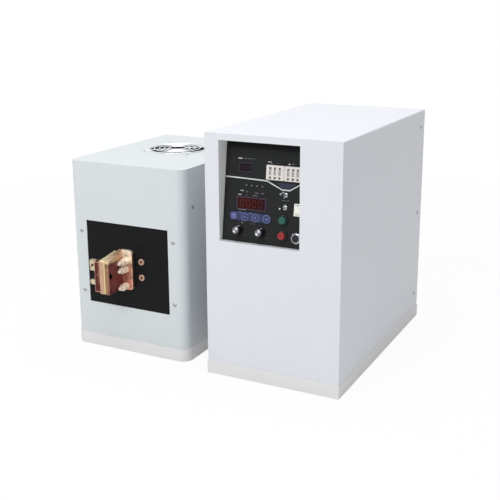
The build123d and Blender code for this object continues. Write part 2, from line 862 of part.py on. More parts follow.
def make_toggle_bodies():
    """Switch cans with threaded bushings and dress nuts."""
    bodies = []
    wide, tall, deep = toggle_body
    for row in toggle_rows:
        can = block((-wide / 2, -tall / 2, -panel_plate - deep), (wide / 2, tall / 2, -panel_plate))
        can += post(toggle_bushing_radius, -panel_plate, toggle_bushing_height)
        can += hexagon(toggle_nut_flats, 0, toggle_nut_height)
        can -= post(toggle_bore_radius, -panel_plate, toggle_bushing_height + 1)
        bodies.append(on_panel(can, (toggle_column, row)))
    return side_by_side(bodies)


def make_toggle_lever(row, throw):
    """Bat lever on its ball, thrown up (1), down (-1) or in the middle (0) at rest."""
    lever = turned([
        (0, -toggle_pivot),
        (0.9, -toggle_pivot),
        (0.9, 0),
        (1.1, toggle_ball_radius),
        (1.9, toggle_length - 1.4),
        (1.5, toggle_length - 0.4),
        (0.6, toggle_length),
        (0, toggle_length),
    ])
    lever += Sphere(toggle_ball_radius)
    return on_panel(Rot(-throw * toggle_tilt, 0, 0) * lever, (toggle_column, row), toggle_pivot)


def make_rocker_bezel():
    wide, tall, deep = rocker_body
    bezel = pad(rocker_bezel, 1.2, 0, rocker_bezel_proud)
    bezel = chamfer(bezel.faces().sort_by(Axis.Z)[-1].edges(), 0.6)
    bezel += block((-wide / 2, -tall / 2, -deep), (wide / 2, tall / 2, 0))
    well = block(
        (-rocker_opening[0] / 2, -rocker_opening[1] / 2, -deep + 2),
        (rocker_opening[0] / 2, rocker_opening[1] / 2, rocker_bezel_proud + 1),
    )
    return on_panel(bezel - well, rocker_at)


def make_power_rocker():
    """Paddle with two faces meeting in a shallow valley, one end pressed in at rest."""
    width = rocker_opening[0] - 2 * fit_gap
    paddle = right_facing * Cylinder(rocker_radius, width)
    paddle &= block((-width, -rocker_radius, -4), (width, rocker_radius, rocker_radius))
    for side in (-1, 1):
        trim = Pos(0, 0, rocker_valley) * Rot(side * rocker_tilt, 0, 0) * block(
            (-width, 0 if side > 0 else -2 * rocker_radius, 0),
            (width, 2 * rocker_radius if side > 0 else 0, 2 * rocker_radius),
        )
        paddle -= trim
    return on_panel(Rot(rocker_tilt, 0, 0) * paddle, rocker_at, -rocker_pivot)


def socket_barrel_radius():
    return socket_bore_radius + 1.0


def make_socket_shell():
    """Plated round socket with a faceted dress nut."""
    shell = post(socket_collar_radius, 0, socket_collar_height)
    shell = chamfer(shell.faces().sort_by(Axis.Z)[-1].edges(), 0.6)
    shell += hexagon(socket_flats, 0, socket_nut_height, socket_sides)
    shell += post(socket_barrel_radius(), -socket_barrel_depth, 0)
    shell += hexagon(socket_flats, -panel_plate - 3, -panel_plate)
    shell -= post(socket_bore_radius, -socket_barrel_depth - 1, socket_collar_height + 1)
    return on_panel(shell, socket_at)


def make_socket_insert():
    """Black insert with its contact holes and keyway."""
    top = socket_collar_height - socket_insert_drop
    insert = post(socket_bore_radius, -socket_barrel_depth, top)
    for pin in range(socket_pins):
        turn = Rot(0, 0, 90 + pin * 360 / socket_pins)
        insert -= turn * Pos(socket_pin_circle, 0, 0) * post(socket_pin_radius, top - 3, top + 1)
    insert -= Pos(0, socket_bore_radius, 0) * Box(2, 1.6, 2 * top + 1)
    return on_panel(insert, socket_at)


# ================================================================== screws and rear fittings
def screw():
    """Pan-head screw on the Z axis, its head seated at zero."""
    return turned([
        (0, -screw_length),
        (screw_radius, -screw_length),
        (screw_radius, 0),
        (screw_head_radius, 0),
        (screw_head_radius, screw_head * 0.45),
        (screw_head_radius * 0.72, screw_head * 0.9),
        (0, screw_head),
    ])


def make_cover_screws():
    """Every pan-head screw: host sides, head front, head sides and fan corners."""
    screws = []
    for back, up in host_side_screw_points():
        screws.append(host_at * Pos(0, back, up) * left_facing * screw())
        screws.append(host_at * Pos(host_width, back, up) * right_facing * screw())
    for across, up in front_screw_points():
        screws.append(head_at * Pos(across, 0, up) * front_facing * screw())
    for back, up in side_screws:
        screws.append(head_at * Pos(0, back, up) * left_facing * screw())
        screws.append(head_at * Pos(head_width, back, up) * right_facing * screw())
    eye = 2 * guard_wire
    for across, back in fan_screw_points():
        screws.append(head_at * Pos(across, back, head_height + eye) * screw())
    return side_by_side(screws)


def gland():
    """Cable gland standing out along +Z from a rear sheet, its locknut behind."""
    body = hexagon(gland_flats, 0, gland_hex)
    body += turned([
        (0, gland_hex),
        (gland_dome_radius, gland_hex),
        (gland_dome_radius, gland_hex + gland_dome * 0.5),
        (gland_bore_radius + 1.5, gland_hex + gland_dome),
        (0, gland_hex + gland_dome),
    ])
    body += post(gland_thread_radius, -sheet - gland_nut - 3, 0)
    body += hexagon(gland_flats, -sheet - gland_nut, -sheet)
    return body - post(gland_bore_radius, -sheet - gland_nut - 4, gland_hex + gland_dome + 1)


def nipple():
    """Brass hose nipple standing out along +Z: hexagon, smooth seat, barbs and through bore."""
    tip = nipple_hex + nipple_tail
    first = nipple_hex + nipple_plain
    pitch = (tip - first - nipple_groove) / nipple_barbs
    outline = [(0, nipple_hex), (nipple_tail_radius, nipple_hex), (nipple_tail_radius, first)]
    outline.append((nipple_root_radius, first))
    for index in range(nipple_barbs):
        foot = first + nipple_groove + index * pitch
        outline.append((nipple_root_radius, foot))
        outline.append((nipple_tail_radius, foot))
    outline += [(nipple_root_radius, tip), (0, tip)]
    body = hexagon(nipple_flats, 0, nipple_hex) + turned(outline)
    body += post(nipple_thread_radius, -sheet - nipple_nut - 4, 0)
    body += hexagon(nipple_flats, -sheet - nipple_nut, -sheet)
    return body - post(nipple_bore_radius, -sheet - nipple_nut - 5, tip + 1)


def stud():
    """Earth stud with washer and nut."""
    body = post(stud_radius, -sheet - 6, stud_reach)
    body += post(stud_washer_radius, 0, stud_washer)
    body += hexagon(stud_nut_flats, stud_washer, stud_nut_top)
    return body + hexagon(stud_nut_flats, -sheet - 5, -sheet)


def at_rear(unit, depth, points, shape):
    """Copies of a fitting on a unit's rear sheet."""
    return [unit * Pos(across, depth, up) * rear_facing * shape for across, up in points]


def make_cable_glands():
    fittings = at_rear(host_at, host_depth, host_glands, gland())
    return side_by_side(fittings + at_rear(head_at, head_depth, head_glands, gland()))


def make_hose_nipples():
    fittings = at_rear(host_at, host_depth, host_nipples, nipple())
    return side_by_side(fittings + at_rear(head_at, head_depth, head_nipples, nipple()))


def make_earth_studs():
    fittings = at_rear(host_at, host_depth, [host_stud], stud())
    return side_by_side(fittings + at_rear(head_at, head_depth, [head_stud], stud()))


# ================================================================== inside the host
def make_heat_sink():
    """Finned extrusion standing on the plinth."""
    base = block((0, 0, 0), (sink_base, sink_length, sink_height))
    pitch = (sink_length - sink_fin) / (sink_fins - 1)
    for fin in range(sink_fins):
        start = fin * pitch
        base += block(
            (sink_base, start, 0), (sink_base + sink_fin_length, start + sink_fin, sink_height)
        )
    return host_at * Pos(sink_left, sink_front, plinth_floor) * base


def make_power_modules():
    """Moulded transistor modules on the flat side of the heat sink."""
    modules = []
    thick, long, tall = module_size
    back = sink_front + sink_length / 2
    for row in module_rows:
        body = block((-thick, -long / 2, -tall / 2), (0, long / 2, tall / 2))
        body = fillet(body.faces().sort_by(Axis.X)[0].edges(), 2)
        for offset in (-long / 4, 0, long / 4):
            body += block((-thick - module_tab, offset - 8, -7), (-thick, offset + 8, 7))
        modules.append(host_at * Pos(sink_left, back, plinth_floor + row) * body)
    return side_by_side(modules)


def make_bus_capacitors():
    """Row of can capacitors with screw terminals."""
    cans = []
    for index in range(bus_capacitors_count):
        can = post(bus_capacitor_radius, 0, bus_capacitor_height)
        can = fillet(can.faces().sort_by(Axis.Z)[-1].edges(), 2)
        for side in (-14, 14):
            can += Pos(side, 0, 0) * post(5, bus_capacitor_height, bus_capacitor_height + 6)
        across = bus_capacitor_at[0] + index * bus_capacitor_pitch
        cans.append(host_at * Pos(across, bus_capacitor_at[1], plinth_floor) * can)
    return side_by_side(cans)


def make_control_board():
    """Driver board on standoffs from the left side of the host."""
    thick, long, tall = board_size
    face = board_standoff
    board = block((face, 0, 0), (face + thick, long, tall))
    for along in (board_standoff_inset, long - board_standoff_inset):
        for up in (board_standoff_inset, tall - board_standoff_inset):
            board += Pos(0, along, up) * right_facing * post(board_standoff_radius, 0, face)
    for along, up, wide, high, deep in board_parts:
        board += block((face + thick, along, up), (face + thick + deep, along + wide, up + high))
    return host_at * Pos(sheet, board_at[0], board_at[1]) * board


# ================================================================== head front and copper terminals
def terminal_edges(side):
    """Inner and outer X of a terminal plate, side -1 for left and 1 for right."""
    inner = terminal_middle + side * terminal_split / 2
    return inner, inner + side * terminal_plate


def make_insulating_panel():
    """Black plate behind the window, slotted for the terminals and drilled for the sockets."""
    plate = block(
        (bakelite_left, sheet, window_bottom - bakelite_over),
        (head_width - bakelite_left, sheet + bakelite_thickness,
         window_bottom + window_height + bakelite_over),
    )
    half = terminal_split / 2 + terminal_plate + fit_gap
    middle = terminal_centre
    tall = inner_height / 2 + fit_gap
    plate -= block(
        (terminal_middle - half, 0, middle - tall),
        (terminal_middle + half, 2 * bakelite_thickness, middle + tall),
    )
    for row in coil_socket_rows:
        plate -= Pos(coil_socket_column, 0, row) * rear_facing * post(
            coil_socket_radius + hole_gap, 0, 2 * bakelite_thickness
        )
    for across, up in front_screw_points():
        plate -= Pos(across, 0, up) * rear_facing * post(
            screw_radius + hole_gap, 0, 2 * bakelite_thickness
        )
    for up in flange_bolt_heights():
        plate -= Pos(flange_bolt_column(), 0, up) * rear_facing * post(
            bolt_shank_radius + hole_gap, 0, 2 * bakelite_thickness
        )
    return head_at * plate


def terminal_plate_form(left, right, front, foot, front_top, back_top):
    """Plate that stands out from the head, its top edge rising from the front to the head."""
    profile = Polygon((front, foot), (sheet, foot), (sheet, back_top), (front, front_top), align=None)
    return Pos(left, 0, 0) * extrude(Plane.YZ * profile, right - left)


def make_terminal(side, back_top):
    """Copper plate in front of the window, with its bar round one side of the core's middle limb."""
    inner, outer = terminal_edges(side)
    front_plate = terminal_plate_form(
        min(inner, outer), max(inner, outer), -terminal_reach, terminal_bottom, terminal_front_top, back_top
    )
    front_top = front_plate.edges().filter_by(Axis.X).group_by(Axis.Y)[0].sort_by(Axis.Z)[-1]
    front_plate = fillet(front_top, terminal_round)
    front_sides = front_plate.edges().filter_by(Axis.Z).group_by(Axis.Y)[0]
    front_plate = fillet(front_sides, 0.8)
    middle = terminal_centre
    low, high = middle - inner_height / 2, middle + inner_height / 2
    limb_edge = terminal_middle + side * (core_limb / 2 + 2)
    bar_edge = limb_edge + side * terminal_plate
    through = block((min(inner, outer), sheet, low), (max(inner, outer), inner_step, high))
    step = block(
        (min(inner, bar_edge), inner_step, low),
        (max(inner, bar_edge), inner_step + terminal_plate, high),
    )
    bar = block((min(limb_edge, bar_edge), inner_step, low), (max(limb_edge, bar_edge), inner_reach, high))
    bridge = block(
        (min(terminal_middle, bar_edge), inner_reach - terminal_plate, low),
        (max(terminal_middle, bar_edge), inner_reach, high),
    )
    body = front_plate + through + step + bar + bridge
    if side > 0:
        body += make_flange(outer)
    body -= Pos(0, clamp_hole_inset - terminal_reach, middle) * right_facing * post(
        clamp_hole_radius, 0, head_width
    )
    return head_at * body


def flange_bolt_column():
    """X of the flange bolts, outside the plate."""
    return terminal_edges(1)[1] + flange_bolt_offset


def flange_bolt_heights():
    return [terminal_centre + row for row in flange_bolt_rows]


def make_flange(plate_edge):
    """Foot of the right plate, bolted flat against the insulating panel."""
    tall = right_terminal_top + flange_rise - terminal_bottom
    outline = Pos(flange_width / 2, tall / 2) * Rectangle(flange_width, tall)
    outline = fillet(outline.vertices().sort_by(Axis.X)[-2:], flange_radius)
    flange = Pos(plate_edge, sheet, terminal_bottom) * extrude(Plane.XZ * outline, flange_thickness)
    for up in flange_bolt_heights():
        flange -= Pos(flange_bolt_column(), sheet - flange_thickness - 1, up) * rear_facing * post(
            bolt_shank_radius + hole_gap, 0, flange_thickness + 2
        )
    return flange


def make_terminal_insulation():
    """Thin sheet between the two plates, just shy of their edges."""
    half = terminal_split / 2
    middle = terminal_centre
    shy = 0.5
    sheet_front = terminal_plate_form(
        terminal_middle - half, terminal_middle + half, shy - terminal_reach, terminal_bottom + shy,
        terminal_front_top - shy, left_terminal_top - shy
    )
    sheet_inside = block(
        (terminal_middle - half, sheet, middle - inner_height / 2),
        (terminal_middle + half, core_front - coil_wall - 2, middle + inner_height / 2),
    )
    body = sheet_front + sheet_inside
    body -= Pos(0, clamp_hole_inset - terminal_reach, middle) * right_facing * post(
        clamp_hole_radius, 0, head_width
    )
    return head_at * body


def make_coil_clamp_block():
    """Copper block against the left plate, pocketed in front, with two lugs at its side."""
    outer = terminal_edges(-1)[1]
    left = outer - clamp_width
    low = terminal_bottom + clamp_low
    high = terminal_front_top - clamp_drop
    middle = terminal_centre
    body = block((left, -clamp_reach, low), (outer, sheet, high))
    body = fillet(body.edges().filter_by(Axis.Z).sort_by(Axis.X)[:2], 1.5)
    body -= Pos(outer - grub_hole_offset, -clamp_reach, middle) * rear_facing * post(
        grub_hole_radius, -1, clamp_reach - terminal_reach + clamp_hole_inset
    )
    body -= Pos(0, clamp_hole_inset - terminal_reach, middle) * right_facing * post(
        clamp_hole_radius, 0, head_width
    )
    lugs = ((upper_lug_top, upper_lug_height), (lower_lug_top, lower_lug_height))
    front = lug_setback - clamp_reach
    back = front + lug_thickness
    for top, tall in lugs:
        lug = block((left - lug_width, front, top - tall), (left + lug_lap, back, top))
        body += fillet(lug.edges().filter_by(Axis.Y).sort_by(Axis.X)[:2], lug_corner)
    hole_height = upper_lug_top - upper_lug_height / 2
    body -= Pos(left - lug_width / 2, front - 1, hole_height) * rear_facing * post(
        lug_hole_radius, 0, lug_thickness + 2
    )
    return head_at * body


def make_terminal_bolts():
    """Studs through the flange, each with a washer, a nut and a turned lock nut."""
    bolts = []
    seat = sheet - flange_thickness
    for up in flange_bolt_heights():
        bolt = post(bolt_washer_radius, 0, bolt_washer)
        nut_top = bolt_washer + bolt_head
        bolt += Rot(0, 0, 12) * hexagon(bolt_flats, bolt_washer, nut_top)
        bolt += Rot(0, 0, 35) * hexagon(bolt_flats, nut_top, nut_top + bolt_nut)
        stud_end = post(bolt_end_radius, nut_top, bolt_end)
        bolt += chamfer(stud_end.faces().sort_by(Axis.Z)[-1].edges(), 0.6)
        bolt += post(bolt_shank_radius, -bolt_shank, 0)
        bolts.append(head_at * Pos(flange_bolt_column(), seat, up) * front_facing * bolt)
    return side_by_side(bolts)


def make_coil_water_sockets():
    """Brass bushes for the coil's cooling water, each with a round collar against the panel."""
    sockets = []
    for row in coil_socket_rows:
        socket = post(coil_socket_ring, 0, coil_socket_proud)
        socket = fillet(socket.faces().sort_by(Axis.Z)[-1].edges(), 1.0)
        socket += post(coil_socket_radius, -coil_socket_inside, 0)
        socket -= post(coil_socket_bore, -coil_socket_inside - 1, coil_socket_proud + 1)
        sockets.append(head_at * Pos(coil_socket_column, sheet, row) * front_facing * socket)
    return side_by_side(sockets)


# ================================================================== fan
def fan_placed(shape):
    """Place a shape drawn about Z with its top at zero under the head's top sheet."""
    return head_at * Pos(fan_at[0], fan_at[1], head_height - sheet) * shape


def make_fan_frame():
    """Square moulded frame with a round duct, struts, motor and bearing."""
    outer = extrude(RectangleRounded(fan_side, fan_side, fan_corner), -fan_depth)
    waist = extrude(RectangleRounded(fan_side + 1, fan_side + 1, fan_corner), -(fan_depth - 2 * fan_flange))
    waist -= Cylinder(fan_bore_radius + 2, 3 * fan_depth)
    body = outer - Pos(0, 0, -fan_flange) * waist
    body -= post(fan_bore_radius, -fan_depth - 1, 1)
    for corner in (45, 135, 225, 315):
        reach = fan_pitch / 2 * math.sqrt(2)
        hole = Rot(0, 0, corner) * Pos(reach, 0, 0) * post(screw_radius + hole_gap, -fan_depth - 1, 1)
        body -= hole
    floor = -fan_depth
    for strut in range(fan_struts):
        turn = Rot(0, 0, 45 + strut * 360 / fan_struts)
        half = fan_strut_width / 2
        body += turn * block((0, -half, floor), (fan_bore_radius + 1, half, floor + fan_base))
    body += post(fan_hub_radius, floor, floor + fan_base)
    body += post(fan_motor_radius, floor, floor + fan_base + fan_motor_height - 3)
    body -= post(fan_shaft_radius + shaft_gap, floor + 1, 1)
    return fan_placed(body)


def make_fan_rotor():
    """Hub cup with twisted blades and its shaft."""
    top = -fan_hub_drop
    bottom = top - fan_hub_height
    floor = -fan_depth + fan_base
    hub = turned([
        (0, top),
        (fan_hub_radius - 2.5, top),
        (fan_hub_radius, top - 2.5),
        (fan_hub_radius, bottom),
        (fan_hub_radius - fan_hub_wall, bottom),
        (fan_hub_radius - fan_hub_wall, top - fan_hub_wall),
        (fan_shaft_radius, top - fan_hub_wall),
        (fan_shaft_radius, floor),
        (0, floor),
    ])
    tip_radius = fan_bore_radius - fan_blade_gap
    middle = (top + bottom) / 2
    root = blade_section(fan_hub_radius - 1.2, 42.0, 24.0, middle)
    half = blade_section((fan_hub_radius + tip_radius) / 2, 34.0, 30.0, middle)
    tip = blade_section(tip_radius, 27.0, 36.0, middle)
    blade = loft([root, half, tip])
    rim = post(tip_radius, bottom - 5, top + 5)
    blade &= rim
    for index in range(fan_blades):
        hub += Rot(0, 0, index * 360 / fan_blades) * blade
    return fan_placed(hub)


def blade_section(radius, pitch_angle, chord, height):
    """Cambered blade section on a plane facing outwards at a radius."""
    half = chord / 2
    camber = chord * 0.09
    thick = fan_blade_thickness
    section = make_face(
        ThreePointArc((-half, 0), (0, camber + thick / 2), (half, 0))
        + ThreePointArc((half, 0), (0, camber - thick / 2), (-half, 0))
    )
    plane = Plane(origin=(radius, 0, height), x_dir=(0, 1, 0), z_dir=(1, 0, 0))
    return plane * Rot(0, 0, pitch_angle) * section


def rod(start, end, radius):
    """A round wire between two points of the XZ plane, with ball ends."""
    run = math.dist(start, end)
    lean = math.degrees(math.atan2(end[0] - start[0], end[1] - start[1]))
    wire = Cylinder(radius, run, align=rising) + Sphere(radius) + Pos(0, 0, run) * Sphere(radius)
    return Pos(start[0], 0, start[1]) * Rot(0, lean, 0) * wire


def make_fan_guard():
    """Welded wire finger guard: concentric rings on four spokes that end in screw eyes."""
    eye_reach = fan_pitch / 2 * math.sqrt(2)
    low = guard_wire
    high = guard_lift
    spoke_points = [
        (guard_rings[0] - 1, high - guard_wire),
        (guard_rings[-2] + 1, high - guard_wire),
        (guard_bend, low),
        (eye_reach - guard_eye_radius + guard_wire, low),
    ]
    spoke = rod(spoke_points[0], spoke_points[1], guard_spoke)
    for start, end in zip(spoke_points[1:], spoke_points[2:]):
        spoke += rod(start, end, guard_spoke)
    spoke += Pos(eye_reach, 0, low) * Torus(guard_eye_radius - guard_wire, guard_wire)
    seam = Rot(0, 0, guard_seam)
    guard = Pos(0, 0, guard_outer_lift) * seam * Torus(guard_rings[-1], guard_wire)
    for index in range(guard_spokes):
        guard += Rot(0, 0, 45 + index * 360 / guard_spokes) * spoke
    for radius in guard_rings[:-1]:
        guard += Pos(0, 0, high) * seam * Torus(radius, guard_wire)
    return head_at * Pos(fan_at[0], fan_at[1], head_height) * guard


# ================================================================== inside the head
def make_transformer_core():
    """Shell core with two windows, standing on two feet."""
    middle = terminal_centre
    low = middle - core_height / 2
    window = (core_width - core_limb - 2 * core_side) / 2
    core = block(
        (-core_width / 2, core_front, low), (core_width / 2, core_front + core_depth, low + core_height)
    )
    for side in (-1, 1):
        start = side * core_limb / 2
        stop = start + side * window
        core -= block(
            (min(start, stop), core_front - 1, low + core_yoke),
            (max(start, stop), core_front + core_depth + 1, low + core_height - core_yoke),
        )
        foot = side * (core_width / 2 - core_side)
        core += block(
            (min(foot, foot + side * core_side), core_front, plinth_floor),
            (max(foot, foot + side * core_side), core_front + core_depth, low),
        )
    return head_at * Pos(terminal_middle, 0, 0) * core


def make_transformer_primary():
    """Two halves of the primary on the middle limb, above and below the copper bars."""
    inner = Rectangle(core_limb + 2 * coil_gap, core_depth + 2 * coil_gap)
    outer = RectangleRounded(core_limb + 2 * coil_wall, core_depth + 2 * coil_wall, coil_wall / 2)
    coil = extrude(outer - inner, coil_height)
    middle = terminal_centre
    low = middle - core_height / 2 + core_yoke
    high = middle + core_height / 2 - core_yoke - coil_height
    place = [Pos(terminal_middle, core_front + core_depth / 2, height) for height in (low, high)]
    return side_by_side([head_at * at * coil for at in place])


def make_tank_capacitors():
    """Block capacitors of the resonant tank with stud terminals."""
    wide, deep, tall = tank_capacitor
    blocks = []
    for index in range(tank_capacitors):
        body = block((0, 0, 0), (wide, deep, tall))
        body = fillet(body.edges().filter_by(Axis.Z), 4)
        for along in (deep / 4, 3 * deep / 4):
            body += Pos(wide / 2, along, 0) * post(tank_stud_radius, tall, tall + tank_stud)
        across = tank_capacitor_left + index * tank_capacitor_pitch
        blocks.append(head_at * Pos(across, tank_capacitor_front, plinth_floor) * body)
    return side_by_side(blocks)


# ================================================================== nodes
nodes = {
    "host_plinth": host_at * plinth(host_width, host_depth, 0.0),
    "host_cover": host_at * make_host_cover(),
    "host_front_panel": host_at * make_host_front_panel(),
    "host_rear_panel": host_at * make_host_rear_panel(),
    "control_panel": make_control_panel(),
    "small_display": on_panel(display_module(small_window), small_display_at),
    "main_display": on_panel(display_module(main_window), main_display_at),
    "indicator_leds": make_indicator_leds(),
    "keypad_strip": make_keypad_strip(),
    "thumbwheel_banks": make_thumbwheel_banks(),
    "potentiometers": make_potentiometers(),
    "button_bodies": make_button_bodies(),
    "toggle_bodies": make_toggle_bodies(),
    "rocker_bezel": make_rocker_bezel(),
    "power_rocker": make_power_rocker(),
    "socket_shell": make_socket_shell(),
    "socket_insert": make_socket_insert(),
    "start_button": make_button_cap(start_row),
    "stop_button": make_button_cap(stop_row),
    "upper_toggle_lever": make_toggle_lever(toggle_rows[0], toggle_throws[0]),
    "lower_toggle_lever": make_toggle_lever(toggle_rows[1], toggle_throws[1]),
    "left_knob": make_knob(knob_columns[0]),
    "right_knob": make_knob(knob_columns[1]),
    "left_knob_cap": make_knob_cap(knob_columns[0]),
    "right_knob_cap": make_knob_cap(knob_columns[1]),
    "cover_screws": make_cover_screws(),
    "cable_glands": make_cable_glands(),
    "hose_nipples": make_hose_nipples(),
    "earth_studs": make_earth_studs(),
    "heat_sink": make_heat_sink(),
    "power_modules": make_power_modules(),
    "bus_capacitors": make_bus_capacitors(),
    "control_board": make_control_board(),
    "head_plinth": head_at * plinth(head_width, head_depth, head_corner),
    "head_wrap": head_at * make_head_wrap(),
    "head_top_plate": head_at * make_head_top_plate(),
    "head_rear_panel": head_at * make_head_rear_panel(),
    "insulating_panel": make_insulating_panel(),
    "left_terminal": make_terminal(-1, left_terminal_top),
    "right_terminal": make_terminal(1, right_terminal_top),
    "terminal_insulation": make_terminal_insulation(),
    "coil_clamp_block": make_coil_clamp_block(),
    "terminal_bolts": make_terminal_bolts(),
    "coil_water_sockets": make_coil_water_sockets(),
    "fan_frame": make_fan_frame(),
    "fan_rotor": make_fan_rotor(),
    "fan_guard": make_fan_guard(),
    "transformer_core": make_transformer_core(),
    "transformer_primary": make_transformer_primary(),
    "tank_capacitors": make_tank_capacitors(),
}
for number in range(key_count):
    nodes[f"key_{number + 1}"] = make_key(number)
for number in range(len(wheel_banks) * wheels_per_bank):
    bank_number, place_in_bank = divmod(number, wheels_per_bank)
    nodes[f"thumbwheel_{number + 1}"] = make_thumbwheel(bank_number, place_in_bank)

os.makedirs("parts", exist_ok=True)
for name, shape in nodes.items():
    export_step(shape, os.path.join("parts", f"{name}.step"))
    print(name, len(shape.solids()), round(shape.volume))
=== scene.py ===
import json
import logging
import math
from dataclasses import dataclass
from enum import Enum
from functools import cached_property, reduce
from itertools import product
from operator import mul
from typing import Callable, Optional, Sequence, Union

import bpy
from mathutils import Matrix, Vector


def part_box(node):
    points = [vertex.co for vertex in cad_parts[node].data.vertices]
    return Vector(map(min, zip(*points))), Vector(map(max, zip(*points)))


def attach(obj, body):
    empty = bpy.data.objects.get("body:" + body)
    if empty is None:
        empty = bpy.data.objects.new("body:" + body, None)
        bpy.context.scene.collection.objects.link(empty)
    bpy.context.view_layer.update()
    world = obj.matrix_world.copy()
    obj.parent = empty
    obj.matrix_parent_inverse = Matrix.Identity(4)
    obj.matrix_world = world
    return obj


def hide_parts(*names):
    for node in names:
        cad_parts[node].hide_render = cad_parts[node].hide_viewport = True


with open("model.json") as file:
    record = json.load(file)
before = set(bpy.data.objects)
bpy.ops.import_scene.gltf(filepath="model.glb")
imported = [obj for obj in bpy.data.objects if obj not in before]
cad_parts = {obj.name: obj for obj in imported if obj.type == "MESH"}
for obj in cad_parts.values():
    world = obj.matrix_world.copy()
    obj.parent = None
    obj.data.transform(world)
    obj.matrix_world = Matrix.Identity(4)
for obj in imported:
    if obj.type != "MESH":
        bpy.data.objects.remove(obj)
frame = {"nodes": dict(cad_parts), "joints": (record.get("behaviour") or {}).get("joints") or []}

LOG = logging.getLogger("melting_set")
MM = 0.001
ROOT_BODY = "melting_set"
FILM = 0.06          # thickness of printed marks, in millimetres
SIDES_ONLY = 80.0    # bevels the upright edges of a thin plate and leaves its rims

Colour = tuple[float, float, float]
Point = tuple[float, float]
Dash = tuple[float, float, float, float]
Number = Union[int, float]
Operand = Union["Wire", int, float]
Tint = Union["Wire", Colour]
Inputs = Union[dict, Sequence, None]
Piece = bpy.types.Object


def paint(red: int, green: int, blue: int) -> Colour:
    """A colour given in display values from 0 to 255, as the linear values that shaders take."""
    channels = [value / 255 for value in (red, green, blue)]
    return tuple(c / 12.92 if c <= 0.04045 else ((c + 0.055) / 1.055) ** 2.4 for c in channels)


def mm(*values: float) -> tuple[float, ...]:
    """Millimetres as metres."""
    return tuple(value * MM for value in values)


def at(x: float = 0.0, y: float = 0.0, z: float = 0.0) -> Matrix:
    """A shift in millimetres."""
    return Matrix.Translation(mm(x, y, z))


def turn(degrees: float, axis: str = "Z") -> Matrix:
    """A turn about an axis through the origin."""
    return Matrix.Rotation(math.radians(degrees), 4, axis)


class Facing(Enum):
    """A direction that a surface can face, as the axis of its normal."""

    RIGHT = "X"
    UP = "Z"


class Part(Enum):
    """What a selection holds, with the mesh's own name for it."""

    FACE = "polygons"
    VERT = "vertices"


# ---------------------------------------------------------------------------- shader arithmetic
class Wire:
    """A shader socket that takes part in Python arithmetic."""

    def __init__(self, graph: "Graph", socket: bpy.types.NodeSocket) -> None:
        """Hold an output socket and its tree."""
        self.graph = graph
        self.socket = socket

    def _maths(self, operation: str, *values: Operand) -> "Wire":
        """The result of one Math node."""
        return self.graph.wire("ShaderNodeMath", {"operation": operation}, values)

    def __add__(self, other: Operand) -> "Wire":
        """self + other."""
        return self._maths("ADD", self, other)

    def __radd__(self, other: Number) -> "Wire":
        """other + self."""
        return self._maths("ADD", other, self)

    def __sub__(self, other: Operand) -> "Wire":
        """self - other."""
        return self._maths("SUBTRACT", self, other)

    def __rsub__(self, other: Number) -> "Wire":
        """other - self."""
        return self._maths("SUBTRACT", other, self)

    def __mul__(self, other: Operand) -> "Wire":
        """self * other."""
        return self._maths("MULTIPLY", self, other)

    def __rmul__(self, other: Number) -> "Wire":
        """other * self."""
        return self._maths("MULTIPLY", other, self)

    def __truediv__(self, other: Operand) -> "Wire":
        """self / other."""
        return self._maths("DIVIDE", self, other)

    def __rtruediv__(self, other: Number) -> "Wire":
        """other / self."""
        return self._maths("DIVIDE", other, self)

    def wave(self, pitch: float) -> "Wire":
        """A sine of self that repeats at a pitch, between -1 and 1."""
        return self._maths("SINE", self * (2 * math.pi / pitch))

    def root(self) -> "Wire":
        """The square root of self."""
        return self._maths("SQRT", self)

    def most(self, other: Operand) -> "Wire":
        """The larger of two."""
        return self._maths("MAXIMUM", self, other)

    def spread(self, low: float, high: float) -> "Wire":
        """Self stretched so that low is 0 and high is 1, held at both ends."""
        return self.graph.wire("ShaderNodeMapRange", {"clamp": True}, [self, low, high, 0.0, 1.0])

    def rise(self, low: float, high: float) -> "Wire":
        """A smooth step from 0 at low to 1 at high, held outside; it falls where low is above high."""
        settings = {"interpolation_type": "SMOOTHSTEP", "clamp": True}
        return self.graph.wire("ShaderNodeMapRange", settings, [self, low, high, 0.0, 1.0])


